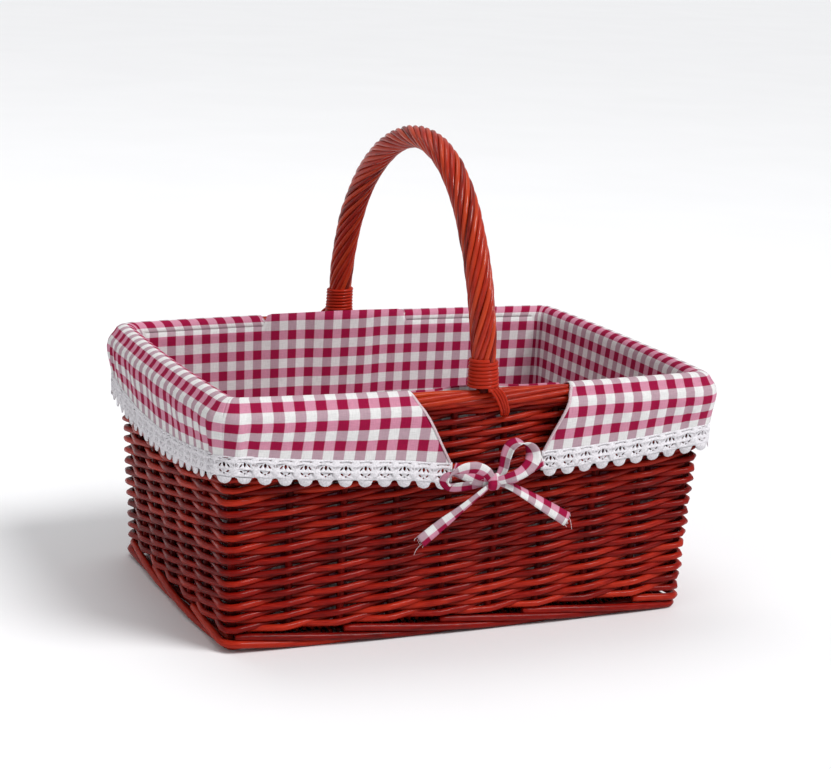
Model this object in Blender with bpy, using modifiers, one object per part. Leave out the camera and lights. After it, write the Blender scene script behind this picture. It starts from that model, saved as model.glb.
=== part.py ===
"""Rectangular willow basket with a fixed arched handle and a lift-out gingham liner.

Units are metres. X runs along the long sides, Y runs from front to back, and Z is up. The origin is on the
table, under the middle of the basket. The back is the front turned half round, and so is the right the left.
"""

import math

import bmesh
import bpy
from mathutils import Matrix, Vector

# Driving dimensions of the wicker, on the middle line of the wall.
RIM_Z = 0.200
BASE_HALF_LENGTH = 0.190
BASE_HALF_WIDTH = 0.129
FLARE_LENGTH = 0.0085  # how much further out each end stands at the rim than at the base
FLARE_WIDTH = 0.0135
BULGE_BASE = (0.0040, 0.0020)  # how far the middle of a long and a short side bows outwards
BULGE_RIM = (0.0090, 0.0040)
CORNER_RADIUS = 0.016
WALL_THICKNESS = 0.0125
CORNER_LEAD = 0.003  # how far the weave of a long side runs past its corner onto the short side
GAP = 0.0003  # between pieces that touch
LEANING_GAP = 0.0010  # above and below the wall, whose edges are square to its slope

FOOT_HEIGHT = 0.015
FOOT_HALF_THICKNESS = 0.0062
FOOT_ROUNDING = 0.002
BORDER_RADIUS = 0.0075
BORDER_Z = 0.1905
WEAVE_BOTTOM = FOOT_HEIGHT + LEANING_GAP
WEAVE_TOP = BORDER_Z - BORDER_RADIUS - LEANING_GAP
BASE_BOTTOM, BASE_TOP = 0.003, 0.011
BASE_STICK_RADIUS = 0.0026
BASE_STICK_ROWS = (-0.062, 0.0, 0.062)
BASE_STICK_INSET = 0.004  # from a stick's end to the foot border

STAKE_RADIUS = 0.0030
CORNER_POST_RADIUS = 0.0042
STAKES_LONG, STAKES_SHORT = 8, 5
STAKE_SPREAD_LONG = 0.826  # a side's outermost stake, as a share, for even spaces round the corners
STAKE_SPREAD_SHORT = 0.729
STAKE_SIDES = 8
CHANNEL_REACH = 0.01  # how far a stake's channel is cut past each end of the stake

# Driving dimensions of the handle. Its middle line is half an ellipse that stands on the long sides.
HANDLE_HALF_SPAN = 0.1515
HANDLE_RISE = 0.172
HANDLE_LEAN = 0.016  # of the top of the handle, towards the front
CORE_RADIUS = 0.0055
CORE_TAIL_RADIUS = 0.0038  # shaved thinner where it runs down inside the wall
CORE_TAIL_Z = 0.050
CORE_TAIL_TIP = 0.6  # thickness of the tail's tip, as a share of the tail's
CORE_TAPER = 0.004  # the handle starts to thin this far above and below the top of the weave
BORDER_HOLE_REACH = 0.012
WRAP_RADIUS = 0.0024
WRAP_COUNT = 4
WRAP_LAY = 0.145  # length of one turn round the core
WRAP_START_Z = 0.2025
BINDING_INNER, BINDING_OUTER = 0.0113, 0.0128
BINDING_LOW, BINDING_HIGH = 0.1985, 0.2215
BINDING_TURNS = 7
BINDING_GROOVE = 0.0008
LASHING_RADIUS = 0.0014
LASHING_CLEARANCE = 0.0002
# Across, inwards from the border's face, and up
LASHING_PATH = (
    (0.0085, 0.0006, 0.1965),
    (0.0125, 0.0000, 0.1900),
    (0.0170, 0.0004, 0.1825),
    (0.0205, 0.0012, 0.1760),
)

# Driving dimensions of the liner.
CLOTH = 0.0015
LACE = 0.0010
CLOTH_FLOOR = (0.1810, 0.1200)
FLOOR_CLEARANCE = 0.0005
INNER_LOW = (0.1820, 0.1208, 0.0138)  # half length, half width and height of the inner cloth's lower edge
INNER_TOP = (0.1897, 0.1335, 0.1985)
CREST_Z = 0.2010
CREST_START, CREST_END = 0.20, 0.75  # the flat of the fold, as shares of the way over the rim
SHOULDER_PUFF, SHOULDER_DROP = 0.6, 0.005
PUFF_DROP = 0.016
CORNER_SEAM = 0.0005  # half the open seam between two of its sides
SKIRT_OFFSET = 0.0092  # from the wall's middle line to the hanging cloth
SKIRT_PUFF = 0.0035  # how much further out the cloth stands just under the rim
HEM_Z, HEM_DIP = 0.157, 0.010  # the hem hangs lower in the middle of a side
LACE_START, LACE_DROP = 0.0012, 0.018  # its two edges, down from the hem
NOTCH_TOP = (-0.060, 0.074)  # the opening in the skirt round the handle, at the rim and at the hem
NOTCH_LOW = (-0.027, 0.048)
NOTCH_REACH = 0.010  # how far the notch is cut past the rim and the hem
NOTCH_NEAR, NOTCH_FAR = 0.0016, 0.060  # where its prism starts and ends, outwards from the inner cloth
TIE_RADIUS = 0.0022
TIE_Y = -0.1690
KNOT_CENTRE = (0.004, 0.130)
KNOT_RADIUS = 0.0055
# Across and up from the knot: round the loop and down the tail
LEFT_TIE_PATH = (
    (-0.0035, 0.0035),
    (-0.0140, 0.0150),
    (-0.0275, 0.0185),
    (-0.0400, 0.0115),
    (-0.0430, 0.0030),
    (-0.0300, -0.0010),
    (-0.0145, -0.0010),
    (-0.0125, -0.0085),
    (-0.0300, -0.0240),
    (-0.0545, -0.0440),
)
RIGHT_TIE_PATH = (
    (0.0068, 0.0022),
    (0.0105, 0.0190),
    (0.0185, 0.0320),
    (0.0300, 0.0315),
    (0.0385, 0.0200),
    (0.0370, 0.0080),
    (0.0240, 0.0005),
    (0.0150, -0.0050),
    (0.0350, -0.0180),
    (0.0680, -0.0370),
)


def clear_scene():
    for old in list(bpy.data.objects):
        bpy.data.objects.remove(old)


def material(name, colour, roughness):
    made = bpy.data.materials.new(name)
    made.use_nodes = True
    shader = made.node_tree.nodes["Principled BSDF"]
    shader.inputs["Base Color"].default_value = (*colour, 1.0)
    shader.inputs["Roughness"].default_value = roughness
    shader.inputs["Metallic"].default_value = 0.0
    return made


def add(name, data, finish, parent=None, collection="wicker_basket"):
    """Puts a new object in its collection, with its material and parent."""
    made = bpy.data.objects.new(name, data)
    bpy.data.collections[collection].objects.link(made)
    made.parent = parent
    if finish is not None:
        data.materials.append(finish)
    return made


def add_cutter(name, data, parent=None):
    made = add(name, data, None, parent, "cutters")
    made.hide_render = True
    made.display_type = "WIRE"
    return made


def cut(target, cutter):
    modifier = target.modifiers.new("cut", "BOOLEAN")
    modifier.operation = "DIFFERENCE"
    modifier.solver = "EXACT"
    modifier.object = cutter


def as_mesh(curve_object, finish=None):
    """A mesh object in place of a curve, with its caps welded, so that it can be cut or joined."""
    bpy.context.view_layer.update()
    graph = bpy.context.evaluated_depsgraph_get()
    mesh = bpy.data.meshes.new_from_object(curve_object.evaluated_get(graph))
    mesh.materials.clear()
    shape = bmesh.new()
    shape.from_mesh(mesh)
    bmesh.ops.remove_doubles(shape, verts=shape.verts, dist=1e-6)
    shape.to_mesh(mesh)
    shape.free()
    name, parent = curve_object.name, curve_object.parent
    collection, world = curve_object.users_collection[0].name, curve_object.matrix_world.copy()
    bpy.data.objects.remove(curve_object)
    made = add(name, mesh, finish, parent, collection)
    made.matrix_world = world
    return made


def tube(name, points, radius, finish, parent=None, shares=None, cyclic=False, resolution=2):
    """A round rod along the points. Shares scale the radius point by point."""
    curve = bpy.data.curves.new(name, "CURVE")
    curve.dimensions = "3D"
    curve.bevel_depth = radius
    curve.bevel_resolution = resolution
    curve.use_fill_caps = True
    spline = curve.splines.new("POLY")
    spline.points.add(len(points) - 1)
    for index, (place, at) in enumerate(zip(spline.points, points)):
        place.co = (*at, 1.0)
        place.radius = shares[index] if shares else 1.0
    spline.use_cyclic_u = cyclic
    return add(name, curve, finish, parent)


def plate(name, loops, low, high, finish, parent=None, round_edge=0.0, collection="wicker_basket"):
    """A flat outline, with its holes, made as thick as the space between two heights."""
    curve = bpy.data.curves.new(name, "CURVE")
    curve.dimensions = "2D"
    curve.fill_mode = "BOTH"
    curve.extrude = (high - low) / 2 - round_edge
    curve.bevel_depth = round_edge
    curve.bevel_resolution = 0
    for loop in loops:
        spline = curve.splines.new("POLY")
        spline.points.add(len(loop) - 1)
        for place, at in zip(spline.points, loop):
            place.co = (at[0], at[1], 0.0, 1.0)
        spline.use_cyclic_u = True
    made = add(name, curve, finish, parent, collection)
    made.location.z = (low + high) / 2
    return made


def rod_matrix(low, high):
    """Stands a rod made along Z between two points."""
    low, high = Vector(low), Vector(high)
    turn = (high - low).to_track_quat("Z", "Y").to_matrix().to_4x4()
    return Matrix.Translation((low + high) / 2) @ turn


def rod(name, low, high, radius, finish, parent=None):
    """A straight stick with a slightly thinner top."""
    mesh = bpy.data.meshes.new(name)
    shape = bmesh.new()
    length = (Vector(high) - Vector(low)).length
    bmesh.ops.create_cone(
        shape, cap_ends=True, segments=STAKE_SIDES, radius1=radius, radius2=radius * 0.9, depth=length
    )
    shape.to_mesh(mesh)
    shape.free()
    made = add(name, mesh, finish, parent)
    made.matrix_local = rod_matrix(low, high)
    mesh.shade_smooth()
    mesh.set_sharp_from_angle(angle=math.radians(50))
    return made


def channels(name, rods, parent=None):
    """One cutter that holds a slightly wider and longer rod for each (low, high, radius)."""
    mesh = bpy.data.meshes.new(name)
    shape = bmesh.new()
    for low, high, radius in rods:
        low, high = Vector(low), Vector(high)
        reach = (high - low).normalized() * CHANNEL_REACH
        bmesh.ops.create_cone(
            shape,
            cap_ends=True,
            segments=STAKE_SIDES,
            radius1=radius + GAP,
            radius2=radius + GAP,
            depth=(high - low).length + 2 * CHANNEL_REACH,
            matrix=rod_matrix(low - reach, high + reach),
        )
    shape.to_mesh(mesh)
    shape.free()
    return add_cutter(name, mesh, parent)


def sheet(name, rows, thickness, finish, parent=None):
    """Cloth or weave: an open surface through rows of points, given its thickness on both sides."""
    mesh = bpy.data.meshes.new(name)
    shape = bmesh.new()
    grid = [[shape.verts.new(at) for at in row] for row in rows]
    for lower, upper in zip(grid, grid[1:]):
        for a, b, c, d in zip(lower, lower[1:], upper[1:], upper):
            shape.faces.new((a, b, c, d))
    shape.to_mesh(mesh)
    shape.free()
    made = add(name, mesh, finish, parent)
    solid = made.modifiers.new("thickness", "SOLIDIFY")
    solid.thickness = thickness
    solid.offset = 0.0
    solid.use_even_offset = True
    return made


# The plan of the wall. A place on a side is given by its share of the way from the middle, from -1 to 1.


def wall_plan(z):
    """Half length, half width, and the bow of the long and the short side, at a height."""
    up = z / RIM_Z
    bows = [base + (rim - base) * up for base, rim in zip(BULGE_BASE, BULGE_RIM)]
    return BASE_HALF_LENGTH + FLARE_LENGTH * up, BASE_HALF_WIDTH + FLARE_WIDTH * up, *bows


def front_point(share, z, offset=0.0):
    half_length, half_width, bow, _ = wall_plan(z)
    return Vector((share * (half_length - CORNER_RADIUS), -(half_width + bow * (1 - share**2) + offset), z))


def left_point(share, z, offset=0.0):
    half_length, half_width, _, bow = wall_plan(z)
    return Vector((-(half_length + bow * (1 - share**2) + offset), share * (half_width - CORNER_RADIUS), z))


def corner_point(angle, z, offset=0.0):
    """On the front left corner at 180 to 270 degrees, and on the front right corner at 270 to 360."""
    half_length, half_width, _, _ = wall_plan(z)
    side = -1 if angle <= math.radians(270) else 1
    reach = CORNER_RADIUS + offset
    x = side * (half_length - CORNER_RADIUS) + reach * math.cos(angle)
    return Vector((x, -(half_width - CORNER_RADIUS) + reach * math.sin(angle), z))


def front_run(z, offset=0.0, side_steps=8, corner_steps=3, lead=0.0):
    """The front side with both of its corners, from left to right, and with a lead onto the short sides."""
    left = [corner_point(math.radians(180 + 90 * i / corner_steps), z, offset) for i in range(corner_steps)]
    if lead:
        left.insert(0, left[0] + Vector((0.0, lead, 0.0)))
    middle = [front_point(2 * i / side_steps - 1, z, offset) for i in range(side_steps + 1)]
    right = [Vector((-at.x, at.y, at.z)) for at in reversed(left)]
    return left + middle + right


def left_run(z, offset=0.0, side_steps=6, trim=0.0):
    """The left side without its corners, from the back to the front."""
    end = 1 - trim
    return [left_point(end - 2 * end * i / side_steps, z, offset) for i in range(side_steps + 1)]


def outline(z, offset=0.0):
    """The whole wall in plan, anticlockwise."""
    half = left_run(z, offset)[1:-1] + front_run(z, offset)
    return half + [Vector((-at.x, -at.y, at.z)) for at in half]


def wall_rod(place):
    """The ends of a stick that stands in the weave, from a function of the height."""
    return place(WEAVE_BOTTOM - GAP), place(WEAVE_TOP + GAP)


# Pieces of the wicker


def add_base(willow):
    inner = outline(0.0, -FOOT_HALF_THICKNESS - 2 * GAP)
    base = as_mesh(plate("base_weave", [inner], BASE_BOTTOM, BASE_TOP, willow), willow)
    middle = (BASE_BOTTOM + BASE_TOP) / 2
    reach = BASE_HALF_LENGTH - FOOT_HALF_THICKNESS - BASE_STICK_INSET
    sticks = [((-reach, y, middle), (reach, y, middle), BASE_STICK_RADIUS) for y in BASE_STICK_ROWS]
    cut(base, channels("base_stick_channels", sticks))
    for number, (low, high, radius) in enumerate(sticks, 1):
        rod(f"base_stick_{number}", low, high, radius, willow)


def add_foot_border(willow):
    flat = FOOT_HALF_THICKNESS - FOOT_ROUNDING
    loops = [outline(0.0, flat), outline(0.0, -flat)]
    plate("foot_border", loops, 0.0, FOOT_HEIGHT, willow, round_edge=FOOT_ROUNDING)


def add_top_border(willow):
    """The ring of rods that ends the wall, with a hole at each foot of the handle."""
    ring = as_mesh(tube("top_border", outline(BORDER_Z), BORDER_RADIUS, willow, cyclic=True), willow)
    low, high = BORDER_Z - BORDER_HOLE_REACH, BORDER_Z + BORDER_HOLE_REACH
    holes = [
        ((0, side * wall_middle(low), low), (0, side * wall_middle(high), high), CORE_RADIUS + GAP)
        for side in (-1, 1)
    ]
    cut(ring, channels("handle_holes_in_border", holes))


def wall_middle(z):
    """How far from the centre the middle line of a long side stands at x = 0."""
    return -front_point(0.0, z).y


def add_front_wall(side, frame, willow):
    """A long wall with both of its corners, its stakes and its two corner posts."""
    rows = [front_run(z, lead=CORNER_LEAD) for z in (WEAVE_BOTTOM, WEAVE_TOP)]
    panel = sheet(f"{side}_wall_weave", rows, WALL_THICKNESS, willow, frame)
    sticks = []
    for number in range(STAKES_LONG):
        share = STAKE_SPREAD_LONG * (2 * number / (STAKES_LONG - 1) - 1)
        low, high = wall_rod(lambda z, share=share: front_point(share, z))
        rod(f"{side}_stake_{number + 1}", low, high, STAKE_RADIUS, willow, frame)
        sticks.append((low, high, STAKE_RADIUS))
    names = {"front": ("front_left", "front_right"), "back": ("back_right", "back_left")}[side]
    for name, angle in zip(names, (225, 315)):
        low, high = wall_rod(lambda z, angle=angle: corner_point(math.radians(angle), z))
        rod(f"{name}_corner_post", low, high, CORNER_POST_RADIUS, willow, frame)
        sticks.append((low, high, CORNER_POST_RADIUS))
    cut(panel, channels(f"{side}_stake_channels", sticks, frame))
    tail = [(0, -wall_middle(z), z) for z in (CORE_TAIL_Z, WEAVE_TOP + CHANNEL_REACH)]
    cut(panel, channels(f"{side}_handle_channel", [(*tail, CORE_TAIL_RADIUS + GAP)], frame))


def add_left_wall(side, frame, willow):
    """A short wall between the corners, with its stakes."""
    trim = (CORNER_LEAD + LEANING_GAP) / (BASE_HALF_WIDTH - CORNER_RADIUS)
    rows = [left_run(z, trim=trim) for z in (WEAVE_BOTTOM, WEAVE_TOP)]
    panel = sheet(f"{side}_wall_weave", rows, WALL_THICKNESS, willow, frame)
    sticks = []
    for number in range(STAKES_SHORT):
        share = STAKE_SPREAD_SHORT * (2 * number / (STAKES_SHORT - 1) - 1)
        low, high = wall_rod(lambda z, share=share: left_point(share, z))
        rod(f"{side}_stake_{number + 1}", low, high, STAKE_RADIUS, willow, frame)
        sticks.append((low, high, STAKE_RADIUS))
    cut(panel, channels(f"{side}_stake_channels", sticks, frame))


# The handle


def arch_point(angle):
    """On the handle's middle line, from the back foot at 0 over the top to the front foot at pi."""
    y = HANDLE_HALF_SPAN * math.cos(angle) - HANDLE_LEAN * math.sin(angle) ** 3
    return Vector((0.0, y, RIM_Z + HANDLE_RISE * math.sin(angle)))


def arch_direction(angle):
    """Along the handle's middle line, towards the front foot."""
    y = -HANDLE_HALF_SPAN * math.sin(angle) - 3 * HANDLE_LEAN * math.sin(angle) ** 2 * math.cos(angle)
    return Vector((0.0, y, HANDLE_RISE * math.cos(angle))).normalized()


def arch_angles(start_z, steps):
    """Angles from foot to foot, close to evenly spaced along the arch."""
    start = math.asin((start_z - RIM_Z) / HANDLE_RISE)
    return [start + (math.pi - 2 * start) * i / steps for i in range(steps + 1)]


def add_handle_core(willow):
    arch = [arch_point(angle) for angle in arch_angles(RIM_Z, 28)]
    tail_heights = (CORE_TAIL_Z, WEAVE_TOP - CORE_TAPER, WEAVE_TOP + CORE_TAPER)
    back_tail = [(0.0, wall_middle(z), z) for z in tail_heights]
    front_tail = [(0.0, -y, z) for _, y, z in reversed(back_tail)]
    thin = CORE_TAIL_RADIUS / CORE_RADIUS
    tail_shares = [CORE_TAIL_TIP * thin, thin, thin]
    shares = tail_shares + [1.0] * len(arch) + tail_shares[::-1]
    tube("handle_core", back_tail + arch + front_tail, CORE_RADIUS, willow, shares=shares)


def add_handle_wraps(willow):
    """Rods twisted round the core, right handed, side by side."""
    steps = 44
    reach = CORE_RADIUS + GAP + WRAP_RADIUS
    angles = arch_angles(WRAP_START_Z, steps)
    centres = [arch_point(angle) for angle in angles]
    for number in range(WRAP_COUNT):
        travelled = 0.0
        points = []
        for index, (centre, angle) in enumerate(zip(centres, angles)):
            travelled += (centre - centres[index - 1]).length if index else 0.0
            ahead = arch_direction(angle)
            aside = Vector((-1.0, 0.0, 0.0))
            outward = aside.cross(ahead)
            turn = math.tau * (travelled / WRAP_LAY + number / WRAP_COUNT)
            points.append(centre + reach * (math.cos(turn) * outward + math.sin(turn) * aside))
        tube(f"handle_wrap_{number + 1}", points, WRAP_RADIUS, willow)


def add_binding(side, frame, willow):
    """Cane bound round the foot of the handle: a turned ring with a ridge for each turn."""
    mesh = bpy.data.meshes.new(f"{side}_handle_binding")
    shape = bmesh.new()
    height = BINDING_HIGH - BINDING_LOW
    profile = []
    for step in range(2 * BINDING_TURNS + 1):
        groove = BINDING_GROOVE if step % 2 == 0 else 0.0
        profile.append((BINDING_OUTER - groove, height / 2 - height / BINDING_TURNS / 2 * step))
    profile += [(BINDING_INNER, -height / 2), (BINDING_INNER, height / 2)]
    corners = [shape.verts.new((x, 0.0, z)) for x, z in profile]
    for first, second in zip(corners, corners[1:] + corners[:1]):
        shape.edges.new((first, second))
    shape.to_mesh(mesh)
    shape.free()
    ring = add(f"{side}_handle_binding", mesh, willow, frame)
    turned = ring.modifiers.new("turned", "SCREW")
    turned.steps = turned.render_steps = 16
    turned.use_merge_vertices = True
    turned.merge_threshold = 1e-5
    middle_z = (BINDING_LOW + BINDING_HIGH) / 2
    angle = math.pi - math.asin((middle_z - RIM_Z) / HANDLE_RISE)
    ring.location = arch_point(angle)
    ahead = arch_direction(angle)
    ring.rotation_euler.x = -math.atan2(-ahead.y, -ahead.z)


def add_lashing(side, frame, willow):
    """Cane that runs from the binding down over the border's outer face."""
    out = front_point(0.0, BORDER_Z, BORDER_RADIUS + GAP).y - LASHING_RADIUS - LASHING_CLEARANCE
    path = [(x, out + inwards, z) for x, inwards, z in LASHING_PATH]
    tube(f"{side}_rim_lashing", path, LASHING_RADIUS, willow, frame)


# The liner. Its floor lies on the base, its walls hang inside, and its skirt hangs outside the border.
# A place on a side is a share as above, and 1 to 2 goes on round the first half of the corner.


def bag_point(long_side, share, distance, z):
    """On the liner, at a distance from the basket's centre plane."""
    half_length, half_width, _, _ = wall_plan(RIM_Z if z > FOOT_HEIGHT else z)
    along, across = half_length - CORNER_RADIUS, half_width - CORNER_RADIUS
    if not long_side:
        along, across = across, along
    round_radius = distance - across
    turn = max(0.0, abs(share) - 1) * math.radians(45) - CORNER_SEAM / round_radius * (abs(share) == 2)
    sideways = min(abs(share), 1) * along + round_radius * math.sin(turn) * (abs(share) > 1)
    outward = across + round_radius * (math.cos(turn) if abs(share) > 1 else 1.0)
    sideways = math.copysign(sideways, share)
    return Vector((sideways, -outward, z)) if long_side else Vector((-outward, sideways, z))


def add_liner_floor(cloth):
    half_length, half_width = CLOTH_FLOOR
    low = BASE_TOP + FLOOR_CLEARANCE
    corners = []
    for quarter in range(4):
        middle = math.radians(225 + 90 * quarter)
        x = math.copysign(half_length - CORNER_RADIUS, math.cos(middle))
        y = math.copysign(half_width - CORNER_RADIUS, math.sin(middle))
        for step in range(4):
            angle = middle + math.radians(-45 + 30 * step)
            corners.append((x + CORNER_RADIUS * math.cos(angle), y + CORNER_RADIUS * math.sin(angle)))
    plate("liner_floor_cloth", [corners], low, low + CLOTH, cloth)


def hem_z(share):
    return HEM_Z - HEM_DIP * max(0.0, 1 - share**2)


def skirt_distance(long_side, share):
    """From the centre plane to the cloth that hangs outside the border."""
    half_length, half_width, long_bow, short_bow = wall_plan(RIM_Z)
    straight, bow = (half_width, long_bow) if long_side else (half_length, short_bow)
    return straight + SKIRT_OFFSET + bow * max(0.0, 1 - share**2)


def cloth_column(long_side, share):
    """One strip of cloth, from the inner cloth's lower edge over the rim to the hem."""
    inner_low, inner_top = (INNER_LOW[1], INNER_TOP[1]) if long_side else (INNER_LOW[0], INNER_TOP[0])
    outer = skirt_distance(long_side, share)
    over = outer - inner_top
    section = [
        (inner_low, INNER_LOW[2]),
        (inner_top, INNER_TOP[2]),
        (inner_top + CREST_START * over, CREST_Z),
        (inner_top + CREST_END * over, CREST_Z),
        (outer + SKIRT_PUFF * SHOULDER_PUFF, CREST_Z - SHOULDER_DROP),
        (outer + SKIRT_PUFF, CREST_Z - PUFF_DROP),
        (outer, hem_z(share)),
    ]
    return [bag_point(long_side, share, distance, z) for distance, z in section]


def cloth_shares(steps):
    middle = [2 * step / steps - 1 for step in range(steps + 1)]
    return [-2, -1.5, *middle, 1.5, 2]


def add_front_cloth(side, frame, cloth):
    """A long side of the liner, open round the handle's foot."""
    columns = [cloth_column(True, share) for share in cloth_shares(8)]
    panel = sheet(f"liner_{side}_cloth", list(zip(*columns)), CLOTH, cloth, frame)
    cut(panel, notch_cutter(side, frame))


def notch_cutter(side, frame):
    """The opening in the skirt, as a prism through the fold and the skirt but not the inner cloth."""
    hem = HEM_Z - HEM_DIP
    slopes = [(top - low) / (RIM_Z - hem) * NOTCH_REACH for top, low in zip(NOTCH_TOP, NOTCH_LOW)]
    corners = [
        (NOTCH_LOW[0] - slopes[0], hem - NOTCH_REACH),
        (NOTCH_LOW[1] - slopes[1], hem - NOTCH_REACH),
        (NOTCH_TOP[1] + slopes[1], RIM_Z + NOTCH_REACH),
        (NOTCH_TOP[0] + slopes[0], RIM_Z + NOTCH_REACH),
    ]
    near, far = INNER_TOP[1] + NOTCH_NEAR, INNER_TOP[1] + NOTCH_FAR
    prism = plate(f"{side}_notch", [corners], near, far, None, frame, collection="cutters")
    prism.location = (0.0, -(near + far) / 2, 0.0)
    prism.rotation_euler.x = math.radians(90)
    made = as_mesh(prism)
    made.hide_render = True
    made.display_type = "WIRE"
    return made


def add_left_cloth(side, frame, cloth):
    """A short side of the liner."""
    columns = [cloth_column(False, share) for share in cloth_shares(4)]
    sheet(f"liner_{side}_cloth", list(zip(*columns)), CLOTH, cloth, frame)


def add_lace(side, frame, lace):
    """A strip sewn to the hem, round one end of the basket from notch to notch."""
    straight = BASE_HALF_LENGTH + FLARE_LENGTH - CORNER_RADIUS
    front_end, back_end = NOTCH_LOW[0] / straight, -NOTCH_LOW[1] / straight
    steps = 5
    front = [front_end + (-1 - front_end) * i / steps for i in range(steps + 1)] + [-1.5]
    back = [-1.5] + [-1 + (back_end + 1) * i / steps for i in range(steps + 1)]
    route = [(True, share, 1) for share in front]
    route += [(False, share, 1) for share in (-1.5, -1, -0.5, 0, 0.5, 1, 1.5)]
    route += [(True, share, -1) for share in back]
    top, low = [], []
    for long_side, share, facing in route:
        for row, drop in ((top, LACE_START), (low, LACE_DROP)):
            x, y, z = bag_point(long_side, share, skirt_distance(long_side, share), hem_z(share) - drop)
            row.append((x, y * facing, z))
    sheet(f"{side}_lace_trim", [low, top], LACE, lace, frame)


def ribbon_path(spots):
    return [(KNOT_CENTRE[0] + across, TIE_Y, KNOT_CENTRE[1] + up) for across, up in spots]


def add_ties(side, frame, cloth):
    """Two sewn-on ties in a bow. The knot belongs to the first, which is wrapped round the other."""
    names = {
        "front": ("front_left_tie", "front_right_tie"),
        "back": ("back_right_tie", "back_left_tie"),
    }[side]
    left_tie = as_mesh(tube(names[0], ribbon_path(LEFT_TIE_PATH), TIE_RADIUS, cloth, frame), cloth)
    knot_mesh = bpy.data.meshes.new(f"{side}_knot")
    shape = bmesh.new()
    bmesh.ops.create_uvsphere(shape, u_segments=10, v_segments=7, radius=KNOT_RADIUS)
    shape.to_mesh(knot_mesh)
    shape.free()
    knot = add_cutter(f"{side}_knot", knot_mesh, frame)
    knot.location = (KNOT_CENTRE[0], TIE_Y, KNOT_CENTRE[1])
    join = left_tie.modifiers.new("knot", "BOOLEAN")
    join.operation = "UNION"
    join.solver = "EXACT"
    join.object = knot
    tube(names[1], ribbon_path(RIGHT_TIE_PATH), TIE_RADIUS, cloth, frame)


def half_turn_frame(name, turned):
    frame = add(name, None, None)
    frame.rotation_euler.z = math.pi if turned else 0.0
    return frame


def main():
    clear_scene()
    for name in ("wicker_basket", "cutters"):
        bpy.context.scene.collection.children.link(bpy.data.collections.new(name))
    willow = material("willow", (0.26, 0.030, 0.016), 0.35)
    rim_willow = material("rim_willow", (0.42, 0.070, 0.022), 0.32)
    cloth = material("gingham", (0.62, 0.20, 0.33), 0.9)
    lace = material("lace", (0.88, 0.85, 0.88), 0.85)
    add_base(willow)
    add_foot_border(willow)
    add_top_border(rim_willow)
    add_handle_core(rim_willow)
    add_handle_wraps(rim_willow)
    add_liner_floor(cloth)
    for side, turned in (("front", False), ("back", True)):
        frame = half_turn_frame(f"{side}_frame", turned)
        add_front_wall(side, frame, willow)
        add_binding(side, frame, rim_willow)
        add_lashing(side, frame, rim_willow)
        add_front_cloth(side, frame, cloth)
        add_ties(side, frame, cloth)
    for side, turned in (("left", False), ("right", True)):
        frame = half_turn_frame(f"{side}_frame", turned)
        add_left_wall(side, frame, willow)
        add_left_cloth(side, frame, cloth)
        add_lace(side, frame, lace)


main()
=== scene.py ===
"""A willow basket with a fixed arched handle and a lift-out gingham liner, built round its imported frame."""

import math

import bmesh
import bpy
import numpy as np
from bpy.props import FloatProperty, FloatVectorProperty, IntProperty, PointerProperty
from mathutils import Matrix, Vector


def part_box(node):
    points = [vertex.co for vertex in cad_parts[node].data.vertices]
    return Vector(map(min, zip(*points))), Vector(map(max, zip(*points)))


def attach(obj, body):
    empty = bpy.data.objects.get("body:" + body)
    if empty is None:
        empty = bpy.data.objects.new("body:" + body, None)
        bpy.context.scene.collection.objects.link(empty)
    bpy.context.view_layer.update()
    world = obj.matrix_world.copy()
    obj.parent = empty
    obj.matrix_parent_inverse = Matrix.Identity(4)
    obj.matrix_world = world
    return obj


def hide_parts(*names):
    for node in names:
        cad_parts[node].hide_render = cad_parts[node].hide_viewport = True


bl_info = {
    "name": "Wicker basket",
    "version": (1, 0, 0),
    "blender": (4, 5, 0),
    "location": "3D View > Sidebar > Basket",
    "description": "Weaves a willow basket and sews its gingham liner around the packed frame",
    "category": "Object",
}

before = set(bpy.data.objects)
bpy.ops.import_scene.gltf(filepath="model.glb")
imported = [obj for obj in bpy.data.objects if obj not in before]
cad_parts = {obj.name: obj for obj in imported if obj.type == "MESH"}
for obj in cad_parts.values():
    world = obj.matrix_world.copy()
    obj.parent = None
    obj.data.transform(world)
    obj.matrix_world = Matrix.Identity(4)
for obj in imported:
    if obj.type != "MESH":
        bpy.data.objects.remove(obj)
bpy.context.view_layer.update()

# The wall in plan, as the frame has it: half length and half width at the base, how much they grow
# to the rim, and how far the long and the short sides bow out.
RIM_Z = 0.200
BASE_HALVES = (0.190, 0.129)
FLARES = (0.0085, 0.0135)
BOWS_BASE = (0.0040, 0.0020)
BOWS_RIM = (0.0090, 0.0040)
WALL_CORNER = 0.0065  # radius of the wicker's corners on the middle line of the wall
INNER_CORNER = 0.016  # where the liner's corners are centred, inwards from the wall's middle lines
SKIRT_CORNER = 0.009
BORDER_Z = 0.1905
FOLD_RADIUS = 0.0085  # of the cloth over the rim, round the border's middle line
LONG_STAKES = 0.1507 * np.linspace(-1, 1, 8)  # places on a side, from its middle
SHORT_STAKES = 0.0873 * np.linspace(-1, 1, 5)
PLAN_Z = 0.100  # height at which distances round the wall are measured
HANDLE_BULGE = 0.0026  # of the wall's rods round the handle's ends
HANDLE_BULGE_WIDTH = 0.011

HANDLE_HALF_SPAN = 0.1515
HANDLE_RISE = 0.172
HANDLE_LEAN = 0.016

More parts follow.
